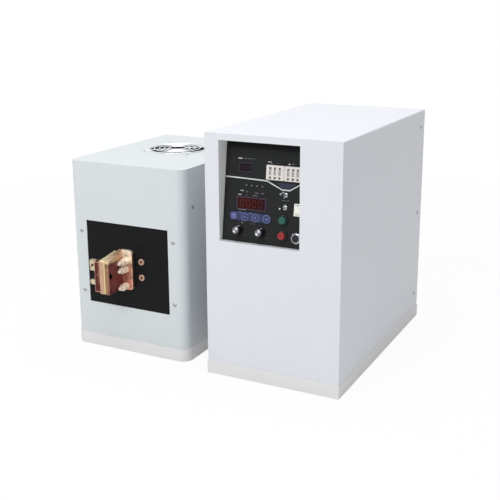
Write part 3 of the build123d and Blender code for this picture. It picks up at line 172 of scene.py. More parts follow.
class Graph:
    """The node tree of one material or world."""

    def __init__(self, owner: Union[bpy.types.Material, bpy.types.World], output: str = "Material") -> None:
        """Start with nothing but the output node.

        Args:
            owner: The material or world.
            output: "Material" or "World".
        """
        self.owner = owner
        owner.use_nodes = True
        self.tree = owner.node_tree
        self.tree.nodes.clear()
        self.output = self.node(f"ShaderNodeOutput{output}")

    @classmethod
    def of_material(cls, name: str) -> "Graph":
        """The empty tree of a new material."""
        return cls(bpy.data.materials.new(name))

    def node(self, kind: str, settings: Optional[dict] = None, inputs: Inputs = None) -> bpy.types.Node:
        """Any node of the tree.

        Args:
            kind: The node's type.
            settings: Its own settings, and "stops" for a ramp.
            inputs: Values or wires by socket or in socket order; None leaves a socket as it is.

        Returns:
            The node.
        """
        node = self.tree.nodes.new(kind)
        for key, value in (settings or {}).items():
            if key == "stops":
                self._set_stops(node.color_ramp.elements, value)
            else:
                setattr(node, key, value)
        for key, value in inputs.items() if isinstance(inputs, dict) else enumerate(inputs or ()):
            socket = node.inputs[key]
            if isinstance(value, Wire):
                self.tree.links.new(value.socket, socket)
            elif value is not None:
                socket.default_value = (*value, 1.0) if socket.type == "RGBA" else value
        return node

    @staticmethod
    def _set_stops(elements: bpy.types.ColorRampElements, stops: Sequence[tuple[float, Colour]]) -> None:
        """Fill a colour ramp.

        Args:
            elements: The ramp's stops.
            stops: Position and colour of each.
        """
        while len(elements) < len(stops):
            elements.new(0.5)
        for element, (position, colour) in zip(elements, stops):
            element.position = position
            element.color = (*colour, 1.0)

    def wire(
        self, kind: str, settings: Optional[dict] = None, inputs: Inputs = None, output: Union[int, str] = 0
    ) -> Wire:
        """One output of a new node, ready for arithmetic."""
        return Wire(self, self.node(kind, settings, inputs).outputs[output])

    @cached_property
    def place(self) -> Wire:
        """The point on the piece, in metres."""
        return self.wire("ShaderNodeTexCoord", output="Object")

    def along(self, axis: str) -> Wire:
        """The point's own X, Y or Z in metres."""
        return self.wire("ShaderNodeSeparateXYZ", inputs=[self.place], output=axis)

    def facing(self, way: Facing) -> Wire:
        """1 where the surface faces one way, else 0."""
        normal = self.wire("ShaderNodeNewGeometry", output="Normal")
        return self.wire("ShaderNodeSeparateXYZ", inputs=[normal], output=way.value).rise(0.55, 0.8)

    def noise(
        self, size: float, detail: float, roughness: float = 0.5, stretch: Sequence[float] = (1.0, 1.0, 1.0)
    ) -> Wire:
        """Cloudy noise from 0 to 1.

        Args:
            size: Width of its patches in metres.
            detail: Octaves.
            roughness: Strength of the finer octaves.
            stretch: How many times longer the patches are along X, Y and Z.

        Returns:
            The noise.
        """
        scale = tuple(1.0 / (size * part) for part in stretch)
        point = self.wire("ShaderNodeMapping", {"vector_type": "POINT"}, [self.place, None, None, scale])
        inputs = {"Vector": point, "Scale": 1.0, "Detail": detail, "Roughness": roughness}
        return self.wire("ShaderNodeTexNoise", inputs=inputs)

    def cells(self, size: float) -> Wire:
        """Distance from the middles of scattered cells of a width in metres."""
        return self.wire("ShaderNodeTexVoronoi", {"feature": "F1"}, {"Vector": self.place, "Scale": 1.0 / size})

    def blend(self, factor: Operand, low: Tint, high: Tint) -> Wire:
        """Two colours mixed, the first where the factor is 0."""
        return self.wire("ShaderNodeMix", {"data_type": "RGBA"}, {0: factor, 6: low, 7: high}, 2)

    def zoned(self, colour: Tint, zones: Sequence["Zone"]) -> Tint:
        """A colour with the colour of each zone laid over it."""
        return reduce(lambda under, zone: self.blend(zone.mask(self), under, zone.colour), zones, colour)

    def tinted(self, colour: Tint, amount: Wire) -> Wire:
        """A colour multiplied by a value near 1."""
        grey = self.wire("ShaderNodeCombineXYZ", inputs=[amount] * 3)
        return self.wire("ShaderNodeVectorMath", {"operation": "MULTIPLY"}, [colour, grey])

    def relief(self, height: Wire, depth: float, strength: float) -> Wire:
        """The normal bent by a height between 0 and 1, a depth in metres and how much of it shows."""
        inputs = {"Height": height, "Distance": depth, "Strength": strength}
        return self.wire("ShaderNodeBump", inputs=inputs)

    def surface(self, **sockets: Union[Operand, Tint]) -> bpy.types.Material:
        """Close the tree with one Principled shader, its sockets named with underscores for spaces."""
        inputs = {key.replace("_", " ").title().replace("Ior", "IOR"): value for key, value in sockets.items()}
        return self.close(self.wire("ShaderNodeBsdfPrincipled", inputs=inputs))

    def close(self, shader: Wire) -> Union[bpy.types.Material, bpy.types.World]:
        """Join a shader to the output and return the owner of the tree."""
        self.tree.links.new(shader.socket, self.output.inputs[0])
        return self.owner


# ---------------------------------------------------------------------------- finishes
@dataclass(frozen=True)
class Zone:
    """A part of a piece with a colour laid over it, faded in between planes; some zones give the piece's own colour,
    others painted light and painted shade.
    """

    limits: tuple[tuple[str, float, float], ...]
    colour: Colour = (1.0, 1.0, 1.0)
    share: float = 1.0

    def mask(self, graph: Graph) -> Wire:
        """The zone's share inside it, 0 outside."""
        return reduce(mul, [graph.along(axis).rise(start, end) for axis, start, end in self.limits]) * self.share


@dataclass(frozen=True)
class PowderCoat:
    """Baked powder paint: orange peel, faint clouding, a little dust low down, and zones of painted light and painted
    shade where given.
    """

    name: str
    colour: Colour
    gloss: float = 0.42
    specular: float = 0.35
    peel: float = 0.0013
    peel_depth: float = 0.00003
    clouding: float = 0.03
    dust: Colour = paint(168, 164, 158)
    dust_share: float = 0.12
    dust_height: float = 0.06
    zones: tuple[Zone, ...] = ()

    def make(self) -> bpy.types.Material:
        """Build the material.

        Returns:
            The material.
        """
        graph = Graph.of_material(self.name)
        clouds = graph.noise(0.11, 3)
        streaks = graph.noise(0.018, 2, stretch=(1.0, 1.0, 9.0))
        fine = graph.noise(0.0026, 3)
        shade = 1 + (clouds - 0.5) * self.clouding + (streaks - 0.5) * (self.clouding * 0.5)
        colour = graph.tinted(self.colour, shade + (fine - 0.5) * (self.clouding * 0.4))
        low = graph.along("Z").rise(self.dust_height, 0.0)
        dusty = low * graph.noise(0.03, 4, 0.65).rise(0.35, 0.8) * self.dust_share
        return graph.surface(
            base_color=graph.blend(dusty, graph.zoned(colour, self.zones), self.dust),
            roughness=self.gloss + (streaks - 0.5) * 0.10 + dusty * 0.6,
            specular_ior_level=self.specular,
            normal=graph.relief(graph.noise(self.peel, 1), self.peel_depth, 0.5),
        )


@dataclass(frozen=True)
class Moulded:
    """Moulded plastic with a fine spark-eroded grain and handling shine."""

    name: str
    colour: Colour
    roughness: float = 0.42
    specular: float = 0.5
    variation: float = 0.08
    dusting: float = 0.0
    grain: float = 0.0005
    grain_depth: float = 0.00001
    dust: Colour = paint(142, 138, 130)

    def make(self) -> bpy.types.Material:
        """Build the material.

        Returns:
            The material.
        """
        graph = Graph.of_material(self.name)
        broad = graph.noise(0.012, 3)
        grain = graph.noise(self.grain, 2)
        shade = 1 + (broad - 0.5) * self.variation
        colour = graph.tinted(self.colour, shade + (grain - 0.5) * (self.variation * 0.6))
        if self.dusting > 0:
            settled = graph.facing(Facing.UP) * graph.noise(0.006, 4).rise(0.3, 0.75)
            colour = graph.blend(settled * self.dusting, colour, self.dust)
        return graph.surface(
            base_color=colour,
            roughness=self.roughness + (broad - 0.5) * 0.16,
            specular_ior_level=self.specular,
            normal=graph.relief(grain, self.grain_depth, 0.6),
        )


@dataclass(frozen=True)
class BareMetal:
    """Turned, brushed or plated metal with a grain, dull spots and, where asked, a screw thread with painted shade in
    its grooves.
    """

    name: str
    colour: Colour
    roughness: float = 0.25
    dulling: Colour = paint(90, 84, 76)
    dull_share: float = 0.25
    metallic: float = 1.0
    stretch: tuple[float, float, float] = (1.0, 1.0, 1.0)
    grain: float = 0.0004
    scratch_depth: float = 0.000004
    threads: tuple[Zone, ...] = ()
    thread_shade: float = 0.45
    thread_pitch: float = 0.00125
    thread_depth: float = 0.0003

    def make(self) -> bpy.types.Material:
        """Build the material.

        Returns:
            The material.
        """
        graph = Graph.of_material(self.name)
        grain = graph.noise(self.grain, 2, stretch=self.stretch)
        spots = graph.noise(0.007, 4, 0.6).rise(0.5, 0.85)
        colour = graph.tinted(self.colour, 1 + (grain - 0.5) * 0.18)
        colour = graph.blend(spots * self.dull_share, colour, self.dulling)
        normal = graph.relief(grain, self.scratch_depth, 0.5)
        if self.threads:
            turns = graph.along("Y").wave(self.thread_pitch) * 0.5 + 0.5
            where = reduce(Wire.most, [zone.mask(graph) for zone in self.threads])
            # painted shade in the thread grooves
            colour = graph.tinted(colour, 1 - (1 - turns) * where * self.thread_shade)
            normal = graph.relief(turns * where, self.thread_depth, 1.0)
        return graph.surface(
            base_color=colour,
            metallic=self.metallic,
            roughness=self.roughness + (grain - 0.5) * 0.12 + spots * 0.22,
            normal=normal,
        )


@dataclass(frozen=True)
class SpunCap:
    """Turned cap: fine rings, two bright wedges across its face that are a painted highlight, and a dark band round its
    rim that is painted shade.
    """

    name: str
    node: str
    radius: float = 0.0066
    # bright and dim: painted highlight and painted shade of the wedges; rim: painted shade of the outer band; lean:
    # turn of the painted highlight across the face
    bright: Colour = paint(232, 232, 238)
    dim: Colour = paint(120, 120, 130)
    rim: Colour = paint(30, 30, 34)
    lean: float = 52.0
    ring_pitch: float = 0.0003

    def make(self) -> bpy.types.Material:
        """Build the material.

        Returns:
            The material.
        """
        graph = Graph.of_material(self.name)
        low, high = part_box(self.node)
        middle = (low + high) / 2
        offset = [graph.along(axis) - middle[index] for index, axis in enumerate("XYZ")]
        turned = PANEL.matrix(0.0, 0.0, degrees=self.lean).to_3x3().transposed()
        across, along = (
            offset[0] * turned[row][0] + offset[1] * turned[row][1] + offset[2] * turned[row][2] for row in (0, 1)
        )
        reach = across * across + along * along
        # painted highlight wedges across the face, and a painted shade band round the rim
        painted_highlight_wedge = ((across * across) / (reach + 1e-9)).rise(0.45, 0.95)
        painted_shade_rim = reach.rise((self.radius * 0.84) ** 2, (self.radius * 0.93) ** 2)
        return graph.surface(
            base_color=graph.blend(painted_shade_rim, graph.blend(painted_highlight_wedge, self.dim, self.bright), self.rim),
            metallic=1 - painted_shade_rim,
            roughness=0.3,
            normal=graph.relief(reach.root().wave(self.ring_pitch), 0.000004, 0.4),
        )


@dataclass(frozen=True)
class TarnishedCopper:
    """Machined copper with heat tints and stains: faces toward +X take a purple-brown side colour, part oxide and part
    painted shade, and upward faces a lighter top colour that is painted light.
    """

    name: str
    front: Colour
    side: Colour
    top: Colour
    stain: Colour
    stain_share: float = 0.5
    roughness: float = 0.45
    patch: float = 0.011
    metallic: float = 0.7
    zones: tuple[Zone, ...] = ()

    def make(self) -> bpy.types.Material:
        """Build the material.

        Returns:
            The material.
        """
        graph = Graph.of_material(self.name)
        saw_marks = graph.noise(0.0006, 2, stretch=(1.0, 1.0, 14.0))
        rim = graph.noise(0.004, 3)
        stained = graph.noise(self.patch, 5, 0.62).rise(0.48, 0.66) * self.stain_share
        # side colour on faces toward +X: part oxide, part painted shade; top colour on upward faces: painted light from
        # above
        colour = graph.blend(graph.facing(Facing.RIGHT), self.front, self.side)
        colour = graph.zoned(graph.blend(graph.facing(Facing.UP), colour, self.top), self.zones)
        shade = 1 + (saw_marks - 0.5) * 0.22 + (rim - 0.5) * 0.25
        return graph.surface(
            base_color=graph.tinted(graph.blend(stained, colour, self.stain), shade),
            metallic=self.metallic,
            roughness=self.roughness + stained * 0.25 + (rim - 0.5) * 0.2,
            normal=graph.relief(saw_marks, 0.00002, 0.5),
        )


@dataclass(frozen=True)
class Laminate:
    """Pressed insulating laminate: slightly mottled, with a satin skin and drill dust."""

    name: str
    colour: Colour
    fleck: Colour
    roughness: float = 0.45
    specular: float = 0.2
    fleck_share: float = 0.25
    weave: float = 0.0011

    def make(self) -> bpy.types.Material:
        """Build the material.

        Returns:
            The material.
        """
        graph = Graph.of_material(self.name)
        weave = graph.along("X").wave(self.weave) * graph.along("Z").wave(self.weave)
        mottling = graph.noise(0.02, 4, 0.6)
        specks = graph.noise(0.0016, 2).rise(0.62, 0.78)
        colour = graph.blend(mottling.rise(0.4, 0.8) * self.fleck_share, self.colour, self.fleck)
        colour = graph.blend(specks * (self.fleck_share * 0.6), colour, self.fleck)
        return graph.surface(
            base_color=graph.tinted(colour, 1 + weave * 0.08),
            roughness=self.roughness + (mottling - 0.5) * 0.18,
            specular_ior_level=self.specular,
            normal=graph.relief(weave * 0.5 + 0.5, 0.00002, 0.3),
        )


@dataclass(frozen=True)
class Printed:
    """Screen-printed ink, a little uneven where the film was pressed."""

    name: str
    colour: Colour
    roughness: float = 0.5

    def make(self) -> bpy.types.Material:
        """Build the material.

        Returns:
            The material.
        """
        graph = Graph.of_material(self.name)
        thin = graph.noise(0.0012, 3)
        return graph.surface(
            base_color=graph.tinted(self.colour, 0.92 + thin * 0.16),
            roughness=self.roughness + (thin - 0.5) * 0.1,
            specular_ior_level=0.3,
        )


@dataclass(frozen=True)
class Glowing:
    """Lit segment or lens: a coloured body with a little light of its own."""

    name: str
    colour: Colour
    light: Colour
    strength: float = 0.02
    roughness: float = 0.3

    def make(self) -> bpy.types.Material:
        """Build the material.

        Returns:
            The material.
        """
        graph = Graph.of_material(self.name)
        shade = 0.85 + graph.noise(0.0015, 2) * 0.3
        return graph.surface(
            base_color=graph.tinted(self.colour, shade),
            roughness=self.roughness,
            emission_color=graph.tinted(self.light, shade),
            emission_strength=self.strength,
        )


@dataclass(frozen=True)
class TintedWindow:
    """Tinted acrylic over a display: a colour that changes from left to right, a polished face, hairline scratches, and
    a faint painted glow in its own tint.
    """

    name: str
    span: Point
    tints: tuple[Colour, ...]
    # strength of the pane's painted glow
    glow: float = 0.1

    def make(self) -> bpy.types.Material:
        """Build the material.

        Returns:
            The material.
        """
        graph = Graph.of_material(self.name)
        depth = graph.noise(0.009, 3)
        hair = graph.noise(0.0008, 2, stretch=(12.0, 1.0, 1.0)).rise(0.6, 0.9)
        across = graph.along("X").spread(*self.span) + (depth - 0.5) * 0.25
        stops = [(index / (len(self.tints) - 1), tint) for index, tint in enumerate(self.tints)]
        tint = graph.tinted(graph.wire("ShaderNodeValToRGB", {"stops": stops}, [across]), 0.6 + depth * 0.8)
        return graph.surface(
            base_color=tint,
            roughness=0.2 + hair * 0.15,
            specular_ior_level=0.08,
            # the pane glows faintly in its own tint: painted light, as no lamp is in it
            emission_color=tint,
            emission_strength=self.glow,
        )


@dataclass(frozen=True)
class WoundWire:
    """Varnished wire wound in close turns."""

    name: str
    colour: Colour
    pitch: float = 0.0022

    def make(self) -> bpy.types.Material:
        """Build the material.

        Returns:
            The material.
        """
        graph = Graph.of_material(self.name)
        turns = graph.along("Z").wave(self.pitch) * 0.5 + 0.5
        varnish = graph.noise(0.008, 3)
        return graph.surface(
            base_color=graph.tinted(self.colour, 0.6 + turns * 0.5 + (varnish - 0.5) * 0.3),
            roughness=0.32 + varnish * 0.2,
            coat_weight=0.5,
            normal=graph.relief(turns, 0.0008, 0.8),
        )


@dataclass(frozen=True)
class CircuitBoard:
    """Green solder mask over parallel copper tracks."""

    name: str
    mask: Colour = paint(28, 84, 48)
    track: Colour = paint(52, 122, 70)
    pad: Colour = paint(168, 160, 130)
    pitch: float = 0.005

    def make(self) -> bpy.types.Material:
        """Build the material.

        Returns:
            The material.
        """
        graph = Graph.of_material(self.name)
        bend = (graph.noise(0.03, 1) - 0.5) * 0.02
        lines = (graph.along("Z") + bend).wave(self.pitch).rise(0.2, 0.5)
        pads = graph.cells(0.009).rise(0.2, 0.12)
        colour = graph.blend(pads, graph.blend(lines, self.mask, self.track), self.pad)
        return graph.surface(base_color=colour, roughness=0.35 + pads * 0.1)


class Finishes:
    """Every finish of the set, made once and shared; zones are in metres."""

    cabinet = PowderCoat("cabinet_grey_paint", paint(216, 218, 223))
    cabinet_front = PowderCoat(
        "cabinet_front_paint", paint(216, 218, 223),
        # the zone lightens the recess's left jamb: painted light where the jamb lies in shade
        zones=(Zone((("Y", -0.2392, -0.2386), ("X", 0.0606, 0.0600)), paint(246, 246, 245)),),
    )
    head = PowderCoat("head_blue_grey_paint", paint(206, 211, 213), specular=0.2)
    plinth = PowderCoat("plinth_pale_paint", paint(220, 219, 219), 0.5, dust_share=0.06, dust_height=0.02)
    fascia = PowderCoat(
        "fascia_black_paint", paint(43, 44, 44), 0.5, 0.03, peel=0.0007, peel_depth=0.000015, clouding=0.2,
        # the zone darkens the top band of the fascia: painted shadow of the recess's top edge
        dust_share=0.0, zones=(Zone((("Z", 0.436, 0.446),), paint(27, 27, 28), 0.9),),
    )
    bezel = Moulded("mauve_display_bezel", paint(54, 38, 58), 0.35, 0.35)
    small_bezel = Moulded("grey_violet_bezel", paint(32, 28, 38), 0.35, 0.35)
    keypad = Moulded("blue_keypad_film", paint(46, 52, 86), 0.34, 0.3)
    key = Moulded("slate_key_plastic", paint(52, 58, 96), 0.32, 0.35)
    square_key = Moulded("pale_key_plastic", paint(86, 84, 138), 0.32, 0.35)
    white = Moulded("white_wheel_housing", paint(216, 212, 207), 0.45, variation=0.05)
    wheel = Moulded("pale_digit_wheel", paint(176, 172, 168), 0.5)
    black = Moulded("black_moulding", paint(26, 26, 29), 0.42, 0.35, dusting=0.25)
    knob = Moulded("black_knob_moulding", paint(18, 18, 24), 0.28, dusting=0.1)
    cream = Moulded("cream_rocker", paint(242, 242, 232), 0.28, variation=0.04)
    green = Moulded("green_start_cap", paint(6, 84, 70), 0.24)
    red = Moulded("red_stop_cap", paint(140, 18, 28), 0.22)
    blade = Moulded("grey_fan_blade", paint(70, 72, 76), 0.4, dusting=0.35)
    lens = Glowing("clear_lamp_lens", paint(112, 116, 112), paint(190, 200, 190), roughness=0.15)
    segment = Glowing("red_segment", paint(70, 20, 16), paint(200, 52, 30))
    small_segment = Glowing("violet_segment", paint(40, 18, 30), paint(120, 44, 74))
    chrome = BareMetal("polished_chrome", paint(186, 188, 194), 0.14, paint(70, 70, 76), 0.4)
    guard_wire = BareMetal("bright_guard_wire", paint(244, 246, 250), 0.2, dull_share=0.05, metallic=0.8)
    zinc = BareMetal("zinc_plated_steel", paint(176, 178, 180), 0.30)
    left_cap = SpunCap("left_spun_cap", "left_knob_cap")
    right_cap = SpunCap("right_spun_cap", "right_knob_cap")
    mill = BareMetal("mill_aluminium", paint(186, 188, 192), 0.36, stretch=(1.0, 1.0, 20.0))
    brass = BareMetal("turned_brass", paint(206, 168, 112), 0.28, paint(104, 70, 40))
    stud = BareMetal(
        "threaded_earth_brass", paint(202, 166, 104), dulling=paint(104, 70, 40),
        threads=(
            Zone((("X", -0.0001, 0.0001), ("Y", 0.2505, 0.2507))),
            Zone((("X", 0.0001, -0.0001), ("Y", 0.1485, 0.1487))),
        ),
    )
    bolt = BareMetal(
        "warm_plated_bolt", paint(255, 238, 218), 0.34, paint(196, 140, 112), 0.55, 0.2,
        threads=(Zone((("Y", -0.2385, -0.2387),)),), thread_shade=0.2,
    )
    bush = BareMetal("dull_bronze_bush", paint(196, 162, 142), 0.34, paint(116, 84, 66), metallic=0.3)
    seat = BareMetal("brown_flare_seat", paint(150, 112, 92), 0.45, paint(96, 66, 52), metallic=0.2)
    bakelite = Laminate("black_bakelite", paint(14, 15, 16), paint(28, 27, 28), specular=0.12)
    separator = Laminate("terminal_separator", paint(232, 214, 152), paint(196, 170, 92), 0.5, 0.4)
    ferrite = Laminate("grey_ferrite", paint(62, 62, 66), paint(84, 84, 88), 0.6)
    _on_bar = ("X", -0.1744, -0.1746)
    _on_flange = ("X", -0.1746, -0.1744)
    right_copper = TarnishedCopper(
        "right_terminal_copper", paint(158, 120, 92), paint(146, 82, 78), paint(240, 214, 174), paint(78, 30, 44),
        stain_share=0.6, patch=0.008,
        zones=(
            # painted highlights along the bar's top edge and its upper front corner
            Zone((("Z", 0.196, 0.202), _on_bar), paint(222, 196, 160), 0.9),
            Zone((("Z", 0.186, 0.192), ("Y", -0.258, -0.242), _on_bar), paint(206, 166, 136), 0.8),
            # the flange's own orange copper, then a painted highlight on its upper part and painted shade on its lower
            # part
            Zone((_on_flange,), paint(206, 150, 118)),
            Zone((_on_flange, ("Z", 0.182, 0.204)), paint(255, 246, 226), 0.95),
            Zone((_on_flange, ("Z", 0.176, 0.150)), paint(206, 136, 122), 0.8),
            # painted highlight on the flange's right edge; its end face is kept dark
            Zone((("X", -0.1534, -0.1518),), paint(248, 212, 184), 0.8),
            Zone((("X", -0.15012, -0.15002),), paint(92, 56, 44), 0.9),
            # dark stain round the clamp hole, partly painted shade that makes the hole look larger
            Zone((_on_bar, ("Y", -0.2722, -0.2700), ("Y", -0.2592, -0.2622),
                  ("Z", 0.1660, 0.1690), ("Z", 0.1798, 0.1766)), paint(72, 24, 32), 0.7),
            # painted shade inside the clamp hole
            Zone((("X", -0.1747, -0.1750), ("Y", -0.2704, -0.2702), ("Y", -0.2609, -0.2612),
                  ("Z", 0.1683, 0.1685), ("Z", 0.1772, 0.1770)), paint(26, 10, 14), 0.95),
        ),
    )
    left_copper = TarnishedCopper(
        "left_terminal_copper", paint(200, 166, 138), paint(120, 66, 60), paint(250, 238, 196), paint(172, 130, 106),
        stain_share=0.3,
    )
    clamp_copper = TarnishedCopper(
        "clamp_block_copper", paint(96, 44, 40), paint(84, 44, 42), paint(214, 180, 136), paint(40, 16, 18),
        stain_share=0.55, patch=0.008,
        zones=(
            # a lighter tan patch on the right of the front face
            Zone((("X", -0.2016, -0.2004), ("Z", 0.150, 0.166)), paint(176, 124, 100), 0.6),
            # painted highlights on the block's left and bottom edges
            Zone((("X", -0.2084, -0.2096),), paint(214, 168, 150), 0.85),
            Zone((("Z", 0.1402, 0.1390),), paint(214, 158, 132), 0.8),
            Zone((("X", -0.2106, -0.2110),), paint(212, 200, 168)),
            # painted shade inside the grub hole
            Zone((("X", -0.2058, -0.2055), ("X", -0.1990, -0.1993), ("Z", 0.1693, 0.1696), ("Z", 0.1762, 0.1759),
                  ("Y", -0.2711, -0.2706), ("Y", -0.2400, -0.2410)), paint(22, 10, 12)),
        ),
    )
    winding = WoundWire("varnished_winding", paint(150, 84, 40))
    board = CircuitBoard("green_board")
    ink = Printed("white_ink", paint(206, 208, 208))
    dim_ink = Printed("grey_ink", paint(112, 114, 114))
    faint_ink = Printed("faint_ink", paint(74, 76, 78))
    blue_ink = Printed("pale_blue_ink", paint(118, 126, 184))
    silver_ink = Printed("silver_stripe", paint(206, 212, 210), 0.3)
    night_ink = Printed("dark_blue_field", paint(38, 40, 62))
    figure_ink = Printed("grey_figure_ink", paint(164, 162, 160))
    pointer_ink = Printed("white_pointer", paint(236, 236, 240), 0.35)
    red_window = TintedWindow(
        "deep_red_window", (0.0873, 0.1433),
        (paint(46, 20, 17), paint(56, 14, 12), paint(50, 8, 10), paint(32, 12, 20)),
    )
    violet_window = TintedWindow(
        "deep_violet_window", (0.0888, 0.1128), (paint(24, 12, 20), paint(28, 12, 22), paint(22, 14, 26))
    )

    _made: dict[str, bpy.types.Material] = {}

    @classmethod
    def get(cls, finish: object) -> bpy.types.Material:
        """The material of a finish.

        Args:
            finish: One of the finishes above.

        Returns:
            Its material, built the first time it is asked for.
        """
        if finish.name not in cls._made:
            cls._made[finish.name] = finish.make()
        return cls._made[finish.name]


def dress(finish: object, *nodes: str) -> None:
    """Give carried-over nodes their finish.

    Args:
        finish: The finish.
        nodes: Names of the nodes.
    """
    material = Finishes.get(finish)
    for name in nodes:
        node = frame["nodes"][name]
        if not node.material_slots:
            node.data.materials.append(material)
        for place in node.material_slots:
            place.material = material
        LOG.info("dressed %s in %s", name, material.name)


# ---------------------------------------------------------------------------- modelling moves
class Bench:
    """Modelling moves that the sub-assemblies share; sizes in millimetres."""

    @staticmethod
    def clear() -> None:
        """Leave edit mode and select nothing."""
        if bpy.context.mode != "OBJECT":
            bpy.ops.object.mode_set(mode="OBJECT")
        bpy.ops.object.select_all(action="DESELECT")

    @classmethod
    def only(cls, *pieces: Piece) -> None:
        """Select some pieces and activate the first.

        Args:
            pieces: The pieces.
        """
        cls.clear()
        for piece in pieces:
            piece.select_set(True)
        bpy.context.view_layer.objects.active = pieces[0]

    @classmethod
    def settle(cls, piece: Piece, place: Matrix) -> Piece:
        """Move a piece and put its place in its mesh.

        Args:
            piece: The piece.
            place: Where its own origin goes.

        Returns:
            The same piece.
        """
        cls.only(piece)
        piece.matrix_world = place
        bpy.ops.object.transform_apply(location=True, rotation=True, scale=True)
        return piece

    @classmethod
    def add(cls, name: str, primitive: Callable, **settings: object) -> Piece:
        """Add a primitive and put its size and place in its mesh.

        Args:
            name: The piece's name.
            primitive: The operator that adds it.
            settings: The operator's settings.

        Returns:
            The piece.
        """
        cls.clear()
        primitive(**settings)
        piece = bpy.context.active_object
        piece.name = name
        bpy.ops.object.transform_apply(location=True, rotation=True, scale=True)
        return piece

    @classmethod
    def block(cls, name: str, size: Sequence[float], middle: Sequence[float] = (0, 0, 0)) -> Piece:
        """A block with three sides about a point."""
        place = {"location": mm(*middle), "scale": mm(*size)}
        return cls.add(name, bpy.ops.mesh.primitive_cube_add, size=1.0, **place)

    @classmethod
    def disc(cls, name: str, radius: float, height: float, sides: int) -> Piece:
        """A prism that stands on the XY plane, with its corners at a radius."""
        size = {"radius": radius * MM, "depth": height * MM, "location": mm(0, 0, height / 2)}
        return cls.add(name, bpy.ops.mesh.primitive_cylinder_add, vertices=sides, **size)

    @classmethod
    def ring(cls, name: str, radius: float, wire: float, around: int = 48) -> Piece:
        """A ring about the Z axis, from the radii of its middle line and of its section."""
        size = {"major_radius": radius * MM, "minor_radius": wire * MM, "location": (0, 0, 0)}
        return cls.add(name, bpy.ops.mesh.primitive_torus_add, major_segments=around, minor_segments=10, **size)

    @classmethod
    def figure(cls, name: str, words: str, size: float, height: float) -> Piece:
        """A figure as a thin solid that stands on the XY plane, centred on the origin.

        Args:
            name: The piece's name.
            words: What it says.
            size: Letter size.
            height: Its thickness.

        Returns:
            The piece.
        """
        cls.clear()
        bpy.ops.object.text_add(location=(0, 0, 0))
        text = bpy.context.active_object
        text.name = name
        letters = {"body": words, "size": size * MM, "extrude": height * MM / 2, "resolution_u": 3}
        for key, value in {**letters, "align_x": "CENTER", "align_y": "CENTER"}.items():
            setattr(text.data, key, value)
        bpy.ops.object.convert(target="MESH")
        return cls.settle(bpy.context.active_object, at(z=height / 2))

    @classmethod
    def pick(cls, piece: Piece, test: Callable, kind: Part = Part.FACE) -> None:
        """Enter edit mode with the parts that pass a test selected.

        Args:
            piece: The piece.
            test: The test of a part's place or normal.
            kind: Faces or vertices.
        """
        cls.only(piece)
        mesh = piece.data
        for part in (*mesh.vertices, *mesh.edges, *mesh.polygons):
            part.select = False
        for part in getattr(mesh, kind.value):
            part.select = bool(test(part))
        bpy.ops.object.mode_set(mode="EDIT")
        bpy.ops.mesh.select_mode(type=kind.name)

    @classmethod
    def alter(cls, piece: Piece, kind: str, **settings: object) -> Piece:
        """Apply a modifier to a piece.

        Args:
            piece: The piece.
            kind: The modifier's type.
            settings: Its settings.

        Returns:
            The same piece.
        """
        cls.only(piece)
        modifier = piece.modifiers.new(kind.lower(), kind)
        for key, value in settings.items():
            setattr(modifier, key, value)
        bpy.ops.object.modifier_apply(modifier=modifier.name)
        return piece

    @classmethod
    def bevel(cls, piece: Piece, width: float, segments: int = 2, angle: float = SIDES_ONLY) -> Piece:
        """Round the edges of a piece that are sharper than an angle in degrees."""
        limit = {"limit_method": "ANGLE", "angle_limit": math.radians(angle)}
        return cls.alter(piece, "BEVEL", width=width * MM, segments=segments, **limit)

    @classmethod
    def carve(cls, piece: Piece, cutter: Piece) -> None:
        """Cut one piece out of another and use it up."""
        cls.alter(piece, "BOOLEAN", operation="DIFFERENCE", solver="EXACT", object=cutter)
        cls.discard(cutter)

    @classmethod
    def copy(cls, piece: Piece, place: Matrix) -> Piece:
        """A copy with its own mesh.

        Args:
            piece: The piece to copy.
            place: Where the copy's origin goes.

        Returns:
            The copy.
        """
        cls.only(piece)
        bpy.ops.object.duplicate(linked=False)
        return cls.settle(bpy.context.active_object, place)

    @classmethod
    def discard(cls, *pieces: Piece) -> None:
        """Remove patterns or cutters that are no longer needed."""
        cls.only(*pieces)
        bpy.ops.object.delete()

    @classmethod
    def hand_over(
        cls, name: str, pieces: Sequence[Piece], finish: object, slot: str, body: str = ROOT_BODY,
        smooth: float = 35.0,
    ) -> Piece:
        """Join pieces into one and give it its shading, material and body.

        Args:
            name: Name of the joined piece.
            pieces: What it is made of.
            finish: Its finish.
            slot: Not used.
            body: The body that it rides on.
            smooth: Edges sharper than this stay crisp.

        Returns:
            The joined piece.
        """
        cls.only(*pieces)
        if len(pieces) > 1:
            bpy.ops.object.join()
        piece = bpy.context.active_object
        piece.name = name
        bpy.ops.object.shade_smooth_by_angle(angle=math.radians(smooth))
        piece.data.materials.clear()
        piece.data.materials.append(Finishes.get(finish))
        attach(piece, body)
        LOG.info("made %s on %s", name, body)
        return piece


